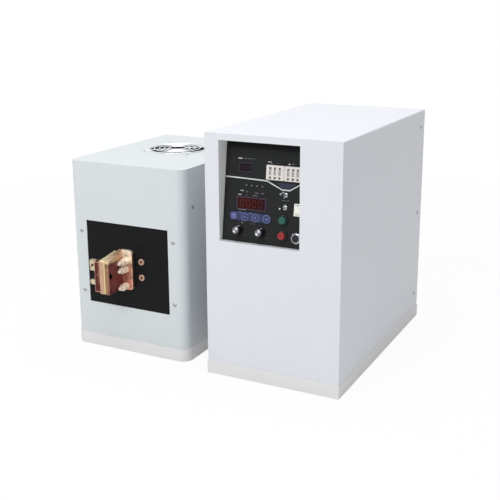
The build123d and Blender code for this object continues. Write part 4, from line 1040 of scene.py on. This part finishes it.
@dataclass(frozen=True)
class PanelFace:
    """The tilted face of the control panel, measured in u across, v up the slope and w out of it."""

    knob_at: Point = (34.3, 22.8)

    def matrix(self, u: float, v: float, w: float = 0.0, degrees: float = 0.0) -> Matrix:
        """Place of a point on the face.

        Args:
            u: Millimetres from the recess's left side.
            v: Millimetres up the slope from its foot.
            w: Millimetres out of the face.
            degrees: Turn about the outward direction.

        Returns:
            The matrix that takes a piece made on the XY plane there.
        """
        knob = next(joint for joint in frame["joints"] if joint["name"] == "left_knob_turn")
        outward = Vector(knob["axis"]).normalized()
        across = Vector((1.0, 0.0, 0.0))
        upward = outward.cross(across)
        shift = ((u - self.knob_at[0]) * across + (v - self.knob_at[1]) * upward + w * outward) * MM
        tilt = Matrix((across, upward, outward)).transposed().to_4x4()
        return Matrix.Translation(Vector(knob["pos_m"]) + shift) @ tilt @ turn(degrees)


PANEL = PanelFace()


# ---------------------------------------------------------------------------- cabinets and head
@dataclass
class PowerCabinet:
    """Covers, plinth and hidden parts of the tall unit."""

    def build(self) -> None:
        """Dress the cabinet."""
        dress(Finishes.cabinet, "host_cover", "host_rear_panel")
        dress(Finishes.cabinet_front, "host_front_panel")
        dress(Finishes.plinth, "host_plinth")
        dress(Finishes.mill, "heat_sink")
        dress(Finishes.black, "power_modules", "bus_capacitors")
        dress(Finishes.board, "control_board")


@dataclass
class HeatingHead:
    """Covers, plinth, insulating window and hidden parts of the low unit."""

    def build(self) -> None:
        """Dress the head."""
        dress(Finishes.head, "head_wrap", "head_top_plate", "head_rear_panel")
        dress(Finishes.plinth, "head_plinth")
        dress(Finishes.bakelite, "insulating_panel")
        dress(Finishes.ferrite, "transformer_core")
        dress(Finishes.winding, "transformer_primary")
        dress(Finishes.black, "tank_capacitors")


@dataclass
class CoilTerminals:
    """Copper plates, their separator, the clamp block, bolts and the coil's water sockets."""

    seat_radius: float = 2.9
    seat_wire: float = 1.05
    seat_depth: float = 1.6

    def _flare_seats(self) -> None:
        """Fit flare seats inside the bores of the two water sockets."""
        low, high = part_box("coil_water_sockets")
        radius = (high.x - low.x) / 2
        seats = []
        for height in (low.z + radius, high.z - radius):
            seat = Bench.ring("flare_seat", self.seat_radius, self.seat_wire, around=36)
            mouth = Matrix.Translation(((low.x + high.x) / 2, low.y, height))
            seats.append(Bench.settle(seat, mouth @ at(y=self.seat_depth) @ turn(90, "X")))
        Bench.hand_over("flare_seats", seats, Finishes.seat, "brass")

    def build(self) -> None:
        """Dress the terminals and fit the seats."""
        dress(Finishes.right_copper, "right_terminal")
        dress(Finishes.left_copper, "left_terminal")
        dress(Finishes.clamp_copper, "coil_clamp_block")
        dress(Finishes.separator, "terminal_insulation")
        dress(Finishes.bolt, "terminal_bolts")
        dress(Finishes.bush, "coil_water_sockets")
        self._flare_seats()


@dataclass
class TopFan:
    """Fan, rotor and wire guard in the head's top."""

    def build(self) -> None:
        """Dress the fan."""
        dress(Finishes.black, "fan_frame")
        dress(Finishes.blade, "fan_rotor")
        dress(Finishes.guard_wire, "fan_guard")


@dataclass
class Fasteners:
    """Pan-head screws with cross recesses, and the rear fittings."""

    head_radius: float = 3.9
    head_height: float = 2.0
    rim: float = 0.9
    crown: Point = (0.72, 0.45)
    recess: tuple[float, float, float] = (4.4, 1.0, 2.6)
    recess_foot: Point = (0.45, 0.6)
    turns: Point = (0.5, 1.1)
    cabinet_sides: Point = (29.5, 299.5)
    cabinet_rows: tuple[float, ...] = (60.0, 247.0, 434.0)
    cabinet_back: float = 218.5
    head_sides: Point = (-299.5, -29.5)
    side_points: tuple[Point, ...] = ((-188.5, 312.0), (-124.5, 130.0))
    head_front: float = -222.5
    front_columns: Point = (-274.0, -55.0)
    front_rows: Point = (118.3, 245.5)
    guard_top: float = 392.0
    guard_columns: Point = (-218.0, -113.0)
    guard_rows: Point = (-72.0, 33.0)
    glands: tuple[tuple[float, float, float], ...] = (
        (89.5, 262.3, 70.0), (149.5, 262.3, 70.0), (-229.5, 160.3, 60.0)
    )
    seal_radius: float = 5.6
    seal_wire: float = 0.7

    def _screw(self) -> Piece:
        """One pan head on the XY plane with its cross recess.

        Returns:
            The screw head.
        """
        head = Bench.disc("cross_screw", self.head_radius, self.rim, 28)
        Bench.pick(head, lambda face: face.normal.z > 0.9)
        for rise, narrowing in zip((self.head_height * 0.9 - self.rim, self.head_height * 0.1), self.crown):
            bpy.ops.mesh.extrude_region_move(TRANSFORM_OT_translate={"value": mm(0, 0, rise)})
            bpy.ops.transform.resize(value=(narrowing, narrowing, 1.0))
        for degrees in (0.0, 90.0):
            cutter = Bench.block("cross_cutter", self.recess)
            Bench.pick(cutter, lambda face: face.normal.z < -0.9)
            bpy.ops.transform.resize(value=(*self.recess_foot, 1.0))
            Bench.carve(head, Bench.settle(cutter, at(z=self.head_height) @ turn(degrees)))
        return head

    def _places(self) -> list[Matrix]:
        """Where every screw sits, each a little turned.

        Returns:
            One matrix for each screw.
        """
        rows = [(self.cabinet_sides, self.cabinet_back, up) for up in self.cabinet_rows]
        rows += [(self.head_sides, back, up) for back, up in self.side_points]
        places = [
            at(side, back, up) @ turn(way, "Y") for sides, back, up in rows for side, way in zip(sides, (-90, 90))
        ]
        places += [at(x, self.head_front, up) @ turn(90, "X") for x, up in product(self.front_columns, self.front_rows)]
        places += [at(x, back, self.guard_top) for x, back in product(self.guard_columns, self.guard_rows)]
        first, step = self.turns
        return [place @ Matrix.Rotation(first + index * step, 4, "Z") for index, place in enumerate(places)]

    def build(self) -> None:
        """Make the screws and seals and dress the rear fittings."""
        pattern = self._screw()
        screws = [Bench.copy(pattern, place) for place in self._places()]
        Bench.discard(pattern)
        heads = Bench.hand_over("cross_head_screws", screws, Finishes.zinc, "plated_metal", smooth=25.0)
        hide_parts("cover_screws")
        dress(Finishes.black, "cable_glands")
        dress(Finishes.brass, "hose_nipples")
        dress(Finishes.stud, "earth_studs")
        seals = [
            Bench.settle(Bench.ring("gland_seal", self.seal_radius, self.seal_wire), at(*spot) @ turn(90, "X"))
            for spot in self.glands
        ]
        Bench.hand_over("gland_seals", seals, Finishes.black, "black_plastic")


# ---------------------------------------------------------------------------- control panel
@dataclass
class SegmentDisplay:
    """Tinted window and a row of noughts in segments; sizes in millimetres."""

    name: str
    middle: Point
    window: Point
    count: int
    digit_size: Point
    pitch: float
    stroke: float
    bezel_finish: object
    window_finish: object
    segment_finish: object
    sunk: float = 0.8
    pane: float = 0.3

    def _segment(self, length: float, place: Matrix) -> Piece:
        """One pointed segment.

        Args:
            length: Its length.
            place: Where its middle goes.

        Returns:
            The segment.
        """
        half = self.stroke / 2
        bar = Bench.disc("segment", half, 0.05, 4)
        for side in (1, -1):
            Bench.pick(bar, lambda vertex: vertex.co.x * side > 0.1 * half * MM, Part.VERT)
            bpy.ops.transform.translate(value=mm(side * (length / 2 - half), 0, 0))
        return Bench.settle(bar, place)

    def _nought(self, place: Matrix) -> list[Piece]:
        """The six segments of one figure.

        Args:
            place: Where its middle goes.

        Returns:
            The segments.
        """
        wide, tall = self.digit_size
        x, y = (wide - self.stroke) / 2, (tall - self.stroke) / 2
        flat, high = wide - self.stroke * 1.2, tall / 2 - self.stroke * 0.6
        bars = [self._segment(flat, place @ at(0, side * y)) for side in (1, -1)]
        corners = product((1, -1), repeat=2)
        return bars + [self._segment(high, place @ at(i * x, j * y / 2) @ turn(90)) for i, j in corners]

    def build(self) -> None:
        """Make the window and its figures."""
        dress(self.bezel_finish, self.name)
        pane = Bench.block(f"{self.name}_window", (*self.window, self.pane), (0, 0, self.pane / 2))
        Bench.settle(Bench.bevel(pane, 0.1, 1, angle=35.0), PANEL.matrix(*self.middle, self.sunk))
        Bench.hand_over(f"{self.name}_window", [pane], self.window_finish, "display_bezel")
        face = PANEL.matrix(*self.middle, self.sunk + self.pane + 0.01)
        shifts = [(index - (self.count - 1) / 2) * self.pitch for index in range(self.count)]
        bars = [bar for shift in shifts for bar in self._nought(face @ at(shift))]
        Bench.hand_over(f"{self.name}_figures", bars, self.segment_finish, "display_bezel")


@dataclass
class PanelMarks:
    """Stripe, field, blank caption dashes, a painted highlight line under the main display, and dials printed on the
    fascia; sizes in millimetres.
    """

    stripe: tuple[Point, ...] = (
        (1.3, 118.6), (51.1, 117.8), (85.6, 117.0), (116.7, 103.4), (132.1, 103.5), (149.3, 114.1), (160.6, 120.4)
    )
    stripe_width: float = 2.2
    bright: tuple[Dash, ...] = (
        (29.5, 153.9, 8.2, 2.0), (32.1, 87.5, 6.5, 1.6), (89.1, 151.4, 6.8, 1.6), (128.3, 150.1, 4.0, 2.2),
        # (38.5, 60.2, 18.0, 1.4) is a painted highlight: the light line under the main display's bezel
        (118.6, 99.4, 4.6, 1.4), (38.5, 60.2, 18.0, 1.4), (36.6, 95.3, 7.0, 1.4),
    )
    dim: tuple[Dash, ...] = (
        (39.8, 154.3, 4.0, 1.6), (45.9, 154.3, 3.6, 1.4), (51.0, 154.3, 3.0, 1.4), (56.5, 154.3, 3.0, 1.3),
        (93.6, 149.4, 4.0, 1.4), (135.8, 150.7, 5.0, 1.6), (78.2, 93.0, 5.5, 1.5), (66.5, 92.8, 7.0, 1.4),
        (46.4, 93.5, 4.0, 1.4), (63.1, 87.7, 10.0, 1.4), (40.1, 36.4, 5.0, 2.6), (121.2, 89.0, 6.0, 1.2),
        (121.5, 84.5, 8.0, 1.2), (129.4, 85.1, 4.0, 1.4), (123.9, 77.9, 5.0, 1.3),
    )
    faint: tuple[Dash, ...] = ((105.5, 150.0, 6.0, 1.3), (45.8, 86.8, 6.0, 1.2), (61.1, 36.1, 12.0, 1.4))
    dash_pitch: float = 1.7
    dash_share: float = 0.78
    field: Dash = (124.3, 110.9, 38.0, 9.6)
    field_foot: float = 0.42
    knob_columns: Point = (34.3, 80.1)
    knob_row: float = 22.8
    tick: tuple[float, float, float] = (0.5, 1.7, FILM)
    tick_radius: float = 11.6
    tick_count: int = 11
    tick_sweep: float = 270.0
    numeral_radius: float = 14.4
    numeral_size: float = 2.6

    def _stripe(self) -> None:
        """Draw the stripe by extruding one short edge from point to point, then thicken it."""
        width = self.stripe_width * MM
        start = at(*self.stripe[0]) @ Matrix.Diagonal((width * 0.01, width, 1.0, 1.0))
        piece = Bench.settle(Bench.add("fascia_stripe", bpy.ops.mesh.primitive_plane_add, size=1.0), start)
        for (left, foot), (right, head) in zip(self.stripe, self.stripe[1:]):
            Bench.pick(piece, lambda vertex: vertex.co.x > left * MM, Part.VERT)
            bpy.ops.mesh.extrude_region_move(TRANSFORM_OT_translate={"value": mm(right - left, head - foot, 0)})
        bpy.ops.mesh.select_all(action="SELECT")
        bpy.ops.mesh.remove_doubles(threshold=1e-7)
        bpy.ops.mesh.normals_make_consistent(inside=False)
        bpy.ops.object.mode_set(mode="OBJECT")
        outward = math.copysign(1.0, piece.data.polygons[0].normal.z)
        Bench.alter(piece, "SOLIDIFY", thickness=FILM * MM, offset=outward)
        Bench.settle(piece, PANEL.matrix(0.0, 0.0))
        Bench.hand_over("fascia_stripe", [piece], Finishes.silver_ink, "panel_paint")

    def _field(self) -> None:
        """Print the bare field, narrower at its foot."""
        u, v, wide, tall = self.field
        field = Bench.block("fascia_field", (wide, tall, FILM))
        Bench.pick(field, lambda vertex: vertex.co.y < 0, Part.VERT)
        bpy.ops.transform.resize(value=(self.field_foot, 1.0, 1.0))
        Bench.settle(field, PANEL.matrix(u, v))
        Bench.hand_over("fascia_field", [field], Finishes.night_ink, "panel_paint")

    def _dashes(self, name: str, rows: Sequence[Dash], finish: object) -> None:
        """Print short dashes in place of words.

        Args:
            name: Name of the piece.
            rows: Middle, height, length and thickness of each row of dashes.
            finish: The ink.
        """
        made = []
        for middle, v, length, thick in rows:
            count = max(1, round(length / self.dash_pitch))
            pitch = length / count
            for index in range(count):
                dash = Bench.bevel(Bench.block("dash", (pitch * self.dash_share, thick, FILM)), thick * 0.25)
                u = middle - length / 2 + (index + 0.5) * pitch
                made.append(Bench.settle(dash, PANEL.matrix(u, v, FILM / 2)))
        Bench.hand_over(name, made, finish, "panel_paint")

    def _dial(self, column: float) -> list[Piece]:
        """Ticks and a few numbers round one knob.

        Args:
            column: Where the knob stands.

        Returns:
            The pieces.
        """
        made = []
        for index in range(self.tick_count):
            swing = self.tick_sweep * (0.5 - index / (self.tick_count - 1))
            place = PANEL.matrix(column, self.knob_row, FILM / 2, swing)
            tick = Bench.bevel(Bench.block("tick", self.tick), 0.15, 1)
            made.append(Bench.settle(tick, place @ at(y=self.tick_radius)))
            if index % 5 == 0:
                number = Bench.figure("dial_number", str(index), self.numeral_size, FILM)
                made.append(Bench.settle(number, place @ at(y=self.numeral_radius) @ turn(-swing)))
        return made

    def build(self) -> None:
        """Print the marks."""
        dress(Finishes.fascia, "control_panel")
        self._stripe()
        self._field()
        self._dashes("fascia_bright_marks", self.bright, Finishes.ink)
        self._dashes("fascia_dim_marks", self.dim, Finishes.dim_ink)
        self._dashes("fascia_faint_marks", self.faint, Finishes.faint_ink)
        dials = [piece for column in self.knob_columns for piece in self._dial(column)]
        Bench.hand_over("knob_dials", dials, Finishes.dim_ink, "panel_paint")


@dataclass
class PushKeys:
    """Rings and plain signs on the film keypad; sizes in millimetres."""

    columns: tuple[float, ...] = (22.9, 45.2, 67.5, 89.8)
    row: float = 47.6
    strip_top: float = 2.0
    key_top: float = 2.7
    ring_radius: float = 7.1
    ring_wire: float = 0.45
    ring_flatness: float = 0.12
    strip_bars: tuple[Point, ...] = ((35.3, 7.0), (56.9, 8.0))
    bar_rise: float = 7.2
    bar_height: float = 1.1
    square_sign: tuple[Dash, ...] = (
        (6.4, 1.1, 0.0, 2.4), (1.1, 4.6, -2.6, -0.6), (1.1, 4.6, 2.6, -0.6), (1.1, 3.4, 0.0, 0.2)
    )
    stop_bar: Dash = (1.0, 4.4, 2.8, 0.0)
    arrow_radius: float = 2.3

    def _arrow(self, degrees: float) -> Piece:
        """A solid arrow head on the XY plane, turned from pointing up."""
        head = Bench.disc("arrow_head", self.arrow_radius, FILM, 3)
        return Bench.settle(Bench.bevel(head, 0.3), turn(degrees))

    @staticmethod
    def _bar(wide: float, tall: float, x: float = 0.0, y: float = 0.0) -> Piece:
        """A rounded bar at a place of the XY plane."""
        return Bench.bevel(Bench.block("sign_bar", (wide, tall, FILM), (x, y, FILM / 2)), 0.2)

    def build(self) -> None:
        """Dress the strip and its keys and print their signs."""
        dress(Finishes.keypad, "keypad_strip")
        dress(Finishes.square_key, "key_1")
        dress(Finishes.key, "key_2", "key_3", "key_4")
        flat = Matrix.Diagonal((1.0, 1.0, self.ring_flatness, 1.0))
        marks = []
        for column in self.columns[1:]:
            ring = Bench.ring("key_ring", self.ring_radius, self.ring_wire)
            marks.append(Bench.settle(ring, PANEL.matrix(column, self.row, self.strip_top) @ flat))
        for u, wide in self.strip_bars:
            bar = self._bar(wide, self.bar_height)
            marks.append(Bench.settle(bar, PANEL.matrix(u, self.row + self.bar_rise, self.strip_top)))
        Bench.hand_over("keypad_rings", marks, Finishes.blue_ink, "keypad_film")
        signs = (
            [self._bar(*bar) for bar in self.square_sign],
            [self._arrow(0.0)],
            [self._arrow(180.0)],
            [self._arrow(-90.0), self._bar(*self.stop_bar)],
        )
        for index, (column, parts) in enumerate(zip(self.columns, signs), start=1):
            for part in parts:
                Bench.settle(part, PANEL.matrix(column, self.row, self.key_top))
            Bench.hand_over(f"key_sign_{index}", parts, Finishes.blue_ink, "key_plastic", f"key_cap_{index}")


@dataclass
class ThumbWheels:
    """Pale digit drums in their white housings, with a figure on each land; sizes in millimetres."""

    banks: Point = (102.5, 138.0)
    row: float = 133.2
    pitch: float = 9.3
    depth: float = 8.5
    radius: float = 12.2
    shown: str = "050080"
    window_angle: float = 144.0
    step: float = 36.0
    figure_size: float = 3.9
    figure_height: float = 0.08

    def build(self) -> None:
        """Dress the banks and put the figures on the drums."""
        dress(Finishes.white, "thumbwheel_banks")
        dress(Finishes.wheel, *[f"thumbwheel_{number}" for number in range(1, 7)])
        size = (self.figure_size, self.figure_height)
        patterns = [Bench.figure("drum_figure", str(value), *size) for value in range(10)]
        out = at(z=self.radius - self.figure_height / 2)
        for wheel, shown in enumerate(self.shown):
            column = self.banks[wheel // 3] + (wheel % 3 - 1) * self.pitch
            centre = PANEL.matrix(column, self.row, -self.depth)
            figures = []
            for place in range(10):
                lean = turn(self.window_angle - 90 + self.step * place, "X")
                figures.append(Bench.copy(patterns[(int(shown) + place) % 10], centre @ lean @ out))
            name, body = f"drum_figures_{wheel + 1}", f"digit_wheel_{wheel + 1}"
            Bench.hand_over(name, figures, Finishes.figure_ink, "wheel_plastic", body)
        Bench.discard(*patterns)


@dataclass
class Knobs:
    """Fluted knobs with spun caps and a white pointer on one land; sizes in millimetres."""

    columns: Point = (34.3, 80.1)
    row: float = 22.8
    foot: float = 4.2
    top: float = 14.4
    foot_radius: float = 8.5
    top_radius: float = 7.93
    pointer: Point = (0.2, 1.3)
    angle: float = 67.5

    def build(self) -> None:
        """Dress the knobs and fit their pointers."""
        dress(Finishes.zinc, "potentiometers")
        dress(Finishes.knob, "left_knob", "right_knob")
        dress(Finishes.left_cap, "left_knob_cap")
        dress(Finishes.right_cap, "right_knob_cap")
        length = self.top - self.foot
        lean = math.atan2(self.foot_radius - self.top_radius, length)
        on_land = at(self.foot_radius) @ Matrix.Rotation(-lean, 4, "Y")
        for side, column in zip(("left", "right"), self.columns):
            name = f"{side}_knob_pointer"
            pointer = Bench.bevel(Bench.block(name, (*self.pointer, length), (0, 0, length / 2)), 0.08, angle=35.0)
            Bench.settle(pointer, PANEL.matrix(column, self.row, self.foot, self.angle) @ on_land)
            Bench.hand_over(name, [pointer], Finishes.pointer_ink, "black_plastic", f"{side}_knob_turning")


@dataclass
class Switches:
    """Buttons, toggles, rocker, lamps and the remote socket; sizes in millimetres."""

    lamp_row: float = 105.8
    lamp_first: float = 45.1
    lamp_pitch: float = 10.8
    lamp_rim: Point = (2.1, 0.35)
    rocker: Point = (150.1, 70.2)
    paddle_height: float = 1.62
    paddle_slope: float = 14.0
    sign_shift: float = 4.6
    off_ring: Point = (1.3, 0.2)
    on_bar: tuple[float, float, float] = (0.45, 2.6, FILM)

    def _rocker_signs(self) -> None:
        """Print the on and off signs on the rocker."""
        u, v = self.rocker
        flat = Matrix.Diagonal((1.0, 1.0, 0.2, 1.0))
        ring = Bench.ring("rocker_off_sign", *self.off_ring, around=28)
        Bench.settle(ring, PANEL.matrix(u, v - self.sign_shift, self.paddle_height) @ flat)
        bar = Bench.bevel(Bench.block("rocker_on_sign", self.on_bar), 0.1, 1)
        slope = turn(self.paddle_slope, "X") @ at(y=self.sign_shift, z=0.02)
        Bench.settle(bar, PANEL.matrix(u, v, self.paddle_height) @ slope)
        Bench.hand_over("rocker_signs", [ring, bar], Finishes.dim_ink, "cream_plastic", "rocker_paddle")

    def build(self) -> None:
        """Dress the switches, and make the lamp rims and rocker signs."""
        dress(Finishes.black, "button_bodies", "socket_insert")
        dress(Finishes.green, "start_button")
        dress(Finishes.red, "stop_button")
        dress(Finishes.chrome, "toggle_bodies", "upper_toggle_lever", "lower_toggle_lever", "socket_shell")
        dress(Finishes.cream, "rocker_bezel", "power_rocker")
        dress(Finishes.lens, "indicator_leds")
        rims = []
        for index in range(4):
            column = self.lamp_first + index * self.lamp_pitch
            rim = Bench.ring("lamp_rim", *self.lamp_rim, around=28)
            rims.append(Bench.settle(rim, PANEL.matrix(column, self.lamp_row, 0.2)))
        Bench.hand_over("lamp_rims", rims, Finishes.black, "black_plastic")
        self._rocker_signs()


@dataclass
class ControlPanel:
    """Everything that sits in the recess."""

    def build(self) -> None:
        """Dress and fit the panel's parts."""
        PanelMarks().build()
        SegmentDisplay(
            "main_display", (56.8, 72.5), (55.6, 19.4), 4, (8.2, 13.4), 12.4, 1.3,
            Finishes.bezel, Finishes.red_window, Finishes.segment,
        ).build()
        SegmentDisplay(
            "small_display", (42.3, 137.9), (23.6, 13.6), 3, (4.6, 8.0), 6.8, 0.8,
            Finishes.small_bezel, Finishes.violet_window, Finishes.small_segment,
        ).build()
        for controls in (PushKeys(), ThumbWheels(), Knobs(), Switches()):
            controls.build()


# ---------------------------------------------------------------------------- studio
@dataclass
class Studio:
    """Camera, soft lights and the pale floor; sizes in metres."""

    azimuth: float = 27.11
    elevation: float = 14.38
    roll: float = -0.32
    camera_from_cabinet: tuple[float, float, float] = (0.78928, -1.36094, 0.70746)
    lens: float = 62.74
    sensor: float = 36.0
    shift_up: float = -0.06
    floor_size: float = 14.0
    floor_drop: float = 0.0002
    near_white: float = 0.92
    fill: float = 0.52
    aim: tuple[float, float, float] = (0.0, 0.0, 0.22)

    def _camera(self) -> None:
        """Set the camera at its viewing angle, from the cover's front lower left corner."""
        swing, rise = math.radians(self.azimuth), math.radians(self.elevation)
        back = Vector((math.sin(swing) * math.cos(rise), -math.cos(swing) * math.cos(rise), math.sin(rise)))
        right = (-back).cross(Vector((0, 0, 1))).normalized()
        place = Matrix((right, right.cross(-back), back)).transposed().to_4x4() @ turn(self.roll)
        low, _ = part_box("host_cover")
        place.translation = Vector((low.x, low.y, 0.0)) + Vector(self.camera_from_cabinet)
        data = bpy.data.cameras.new("camera")
        data.lens, data.sensor_width, data.shift_y, data.clip_end = self.lens, self.sensor, self.shift_up, 100.0
        camera = bpy.data.objects.new("camera", data)
        camera.matrix_world = place
        bpy.context.scene.collection.objects.link(camera)
        bpy.context.scene.camera = camera

    def _lamp(self, name: str, spot: Sequence[float], size: float, power: float) -> None:
        """A soft square lamp that faces the set.

        Args:
            name: Its name.
            spot: Its place.
            size: Its side.
            power: Its power in watts.
        """
        data = bpy.data.lights.new(name, "AREA")
        data.shape, data.size, data.energy = "SQUARE", size, power
        lamp = bpy.data.objects.new(name, data)
        lamp.location = spot
        lamp.rotation_euler = (Vector(self.aim) - Vector(spot)).to_track_quat("-Z", "Y").to_euler()
        bpy.context.scene.collection.objects.link(lamp)

    def _floor(self) -> None:
        """A pale floor that keeps the shadow and is near white to the camera."""
        Bench.clear()
        bpy.ops.mesh.primitive_plane_add(size=self.floor_size, location=(0, 0, -self.floor_drop))
        floor = bpy.context.active_object
        floor.name = "floor"
        graph = Graph.of_material("pale_floor")
        colour = graph.tinted((0.86, 0.86, 0.87), 0.99 + graph.noise(0.05, 2) * 0.02)
        matt = graph.wire("ShaderNodeBsdfDiffuse", inputs={"Color": colour})
        glow = graph.wire("ShaderNodeEmission", inputs={"Color": (1.0, 1.0, 1.0), "Strength": 1.0})
        camera, gloss = (graph.wire("ShaderNodeLightPath", output=f"Is {ray} Ray") for ray in ("Camera", "Glossy"))
        reach = graph.wire("ShaderNodeVectorMath", {"operation": "LENGTH"}, [graph.place], "Value")
        white = self.near_white + reach.rise(0.7, 2.2) * (1 - self.near_white)
        seen = (camera * white).most(gloss * 0.6)
        floor.data.materials.append(graph.close(graph.wire("ShaderNodeMixShader", inputs=[seen, matt, glow])))

    def _world(self) -> None:
        """White to the camera and in reflections, a plain grey fill for everything else."""
        graph = Graph(bpy.data.worlds.new("studio"), "World")
        rays = [
            graph.wire("ShaderNodeLightPath", output=f"Is {ray} Ray") for ray in ("Camera", "Glossy", "Transmission")
        ]
        soft, white = (
            graph.wire("ShaderNodeBackground", inputs={"Color": colour, "Strength": strength})
            for colour, strength in (((0.98, 0.99, 1.0), self.fill), ((1.0, 1.0, 1.0), 1.0))
        )
        mixed = graph.wire("ShaderNodeMixShader", inputs=[reduce(Wire.most, rays), soft, white])
        bpy.context.scene.world = graph.close(mixed)

    def build(self) -> None:
        """Light the set and place the camera."""
        self._floor()
        self._world()
        self._lamp("key_lamp", (-0.4, -2.4, 2.0), 1.4, 37.0)
        self._lamp("top_lamp", (0.1, 0.1, 2.8), 2.0, 36.0)
        self._camera()


def main() -> None:
    """Build the set piece by piece and report each one."""
    logging.basicConfig(level=logging.INFO, format="%(name)s: %(message)s")
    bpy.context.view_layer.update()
    assemblies = (
        PowerCabinet(),
        HeatingHead(),
        CoilTerminals(),
        TopFan(),
        Fasteners(),
        ControlPanel(),
        Studio(),
    )
    for assembly in assemblies:
        assembly.build()
        LOG.info("finished %s", type(assembly).__name__)
    scene = bpy.context.scene
    scene.view_settings.view_transform = "Standard"
    Bench.clear()


if __name__ == "__main__":
    main()
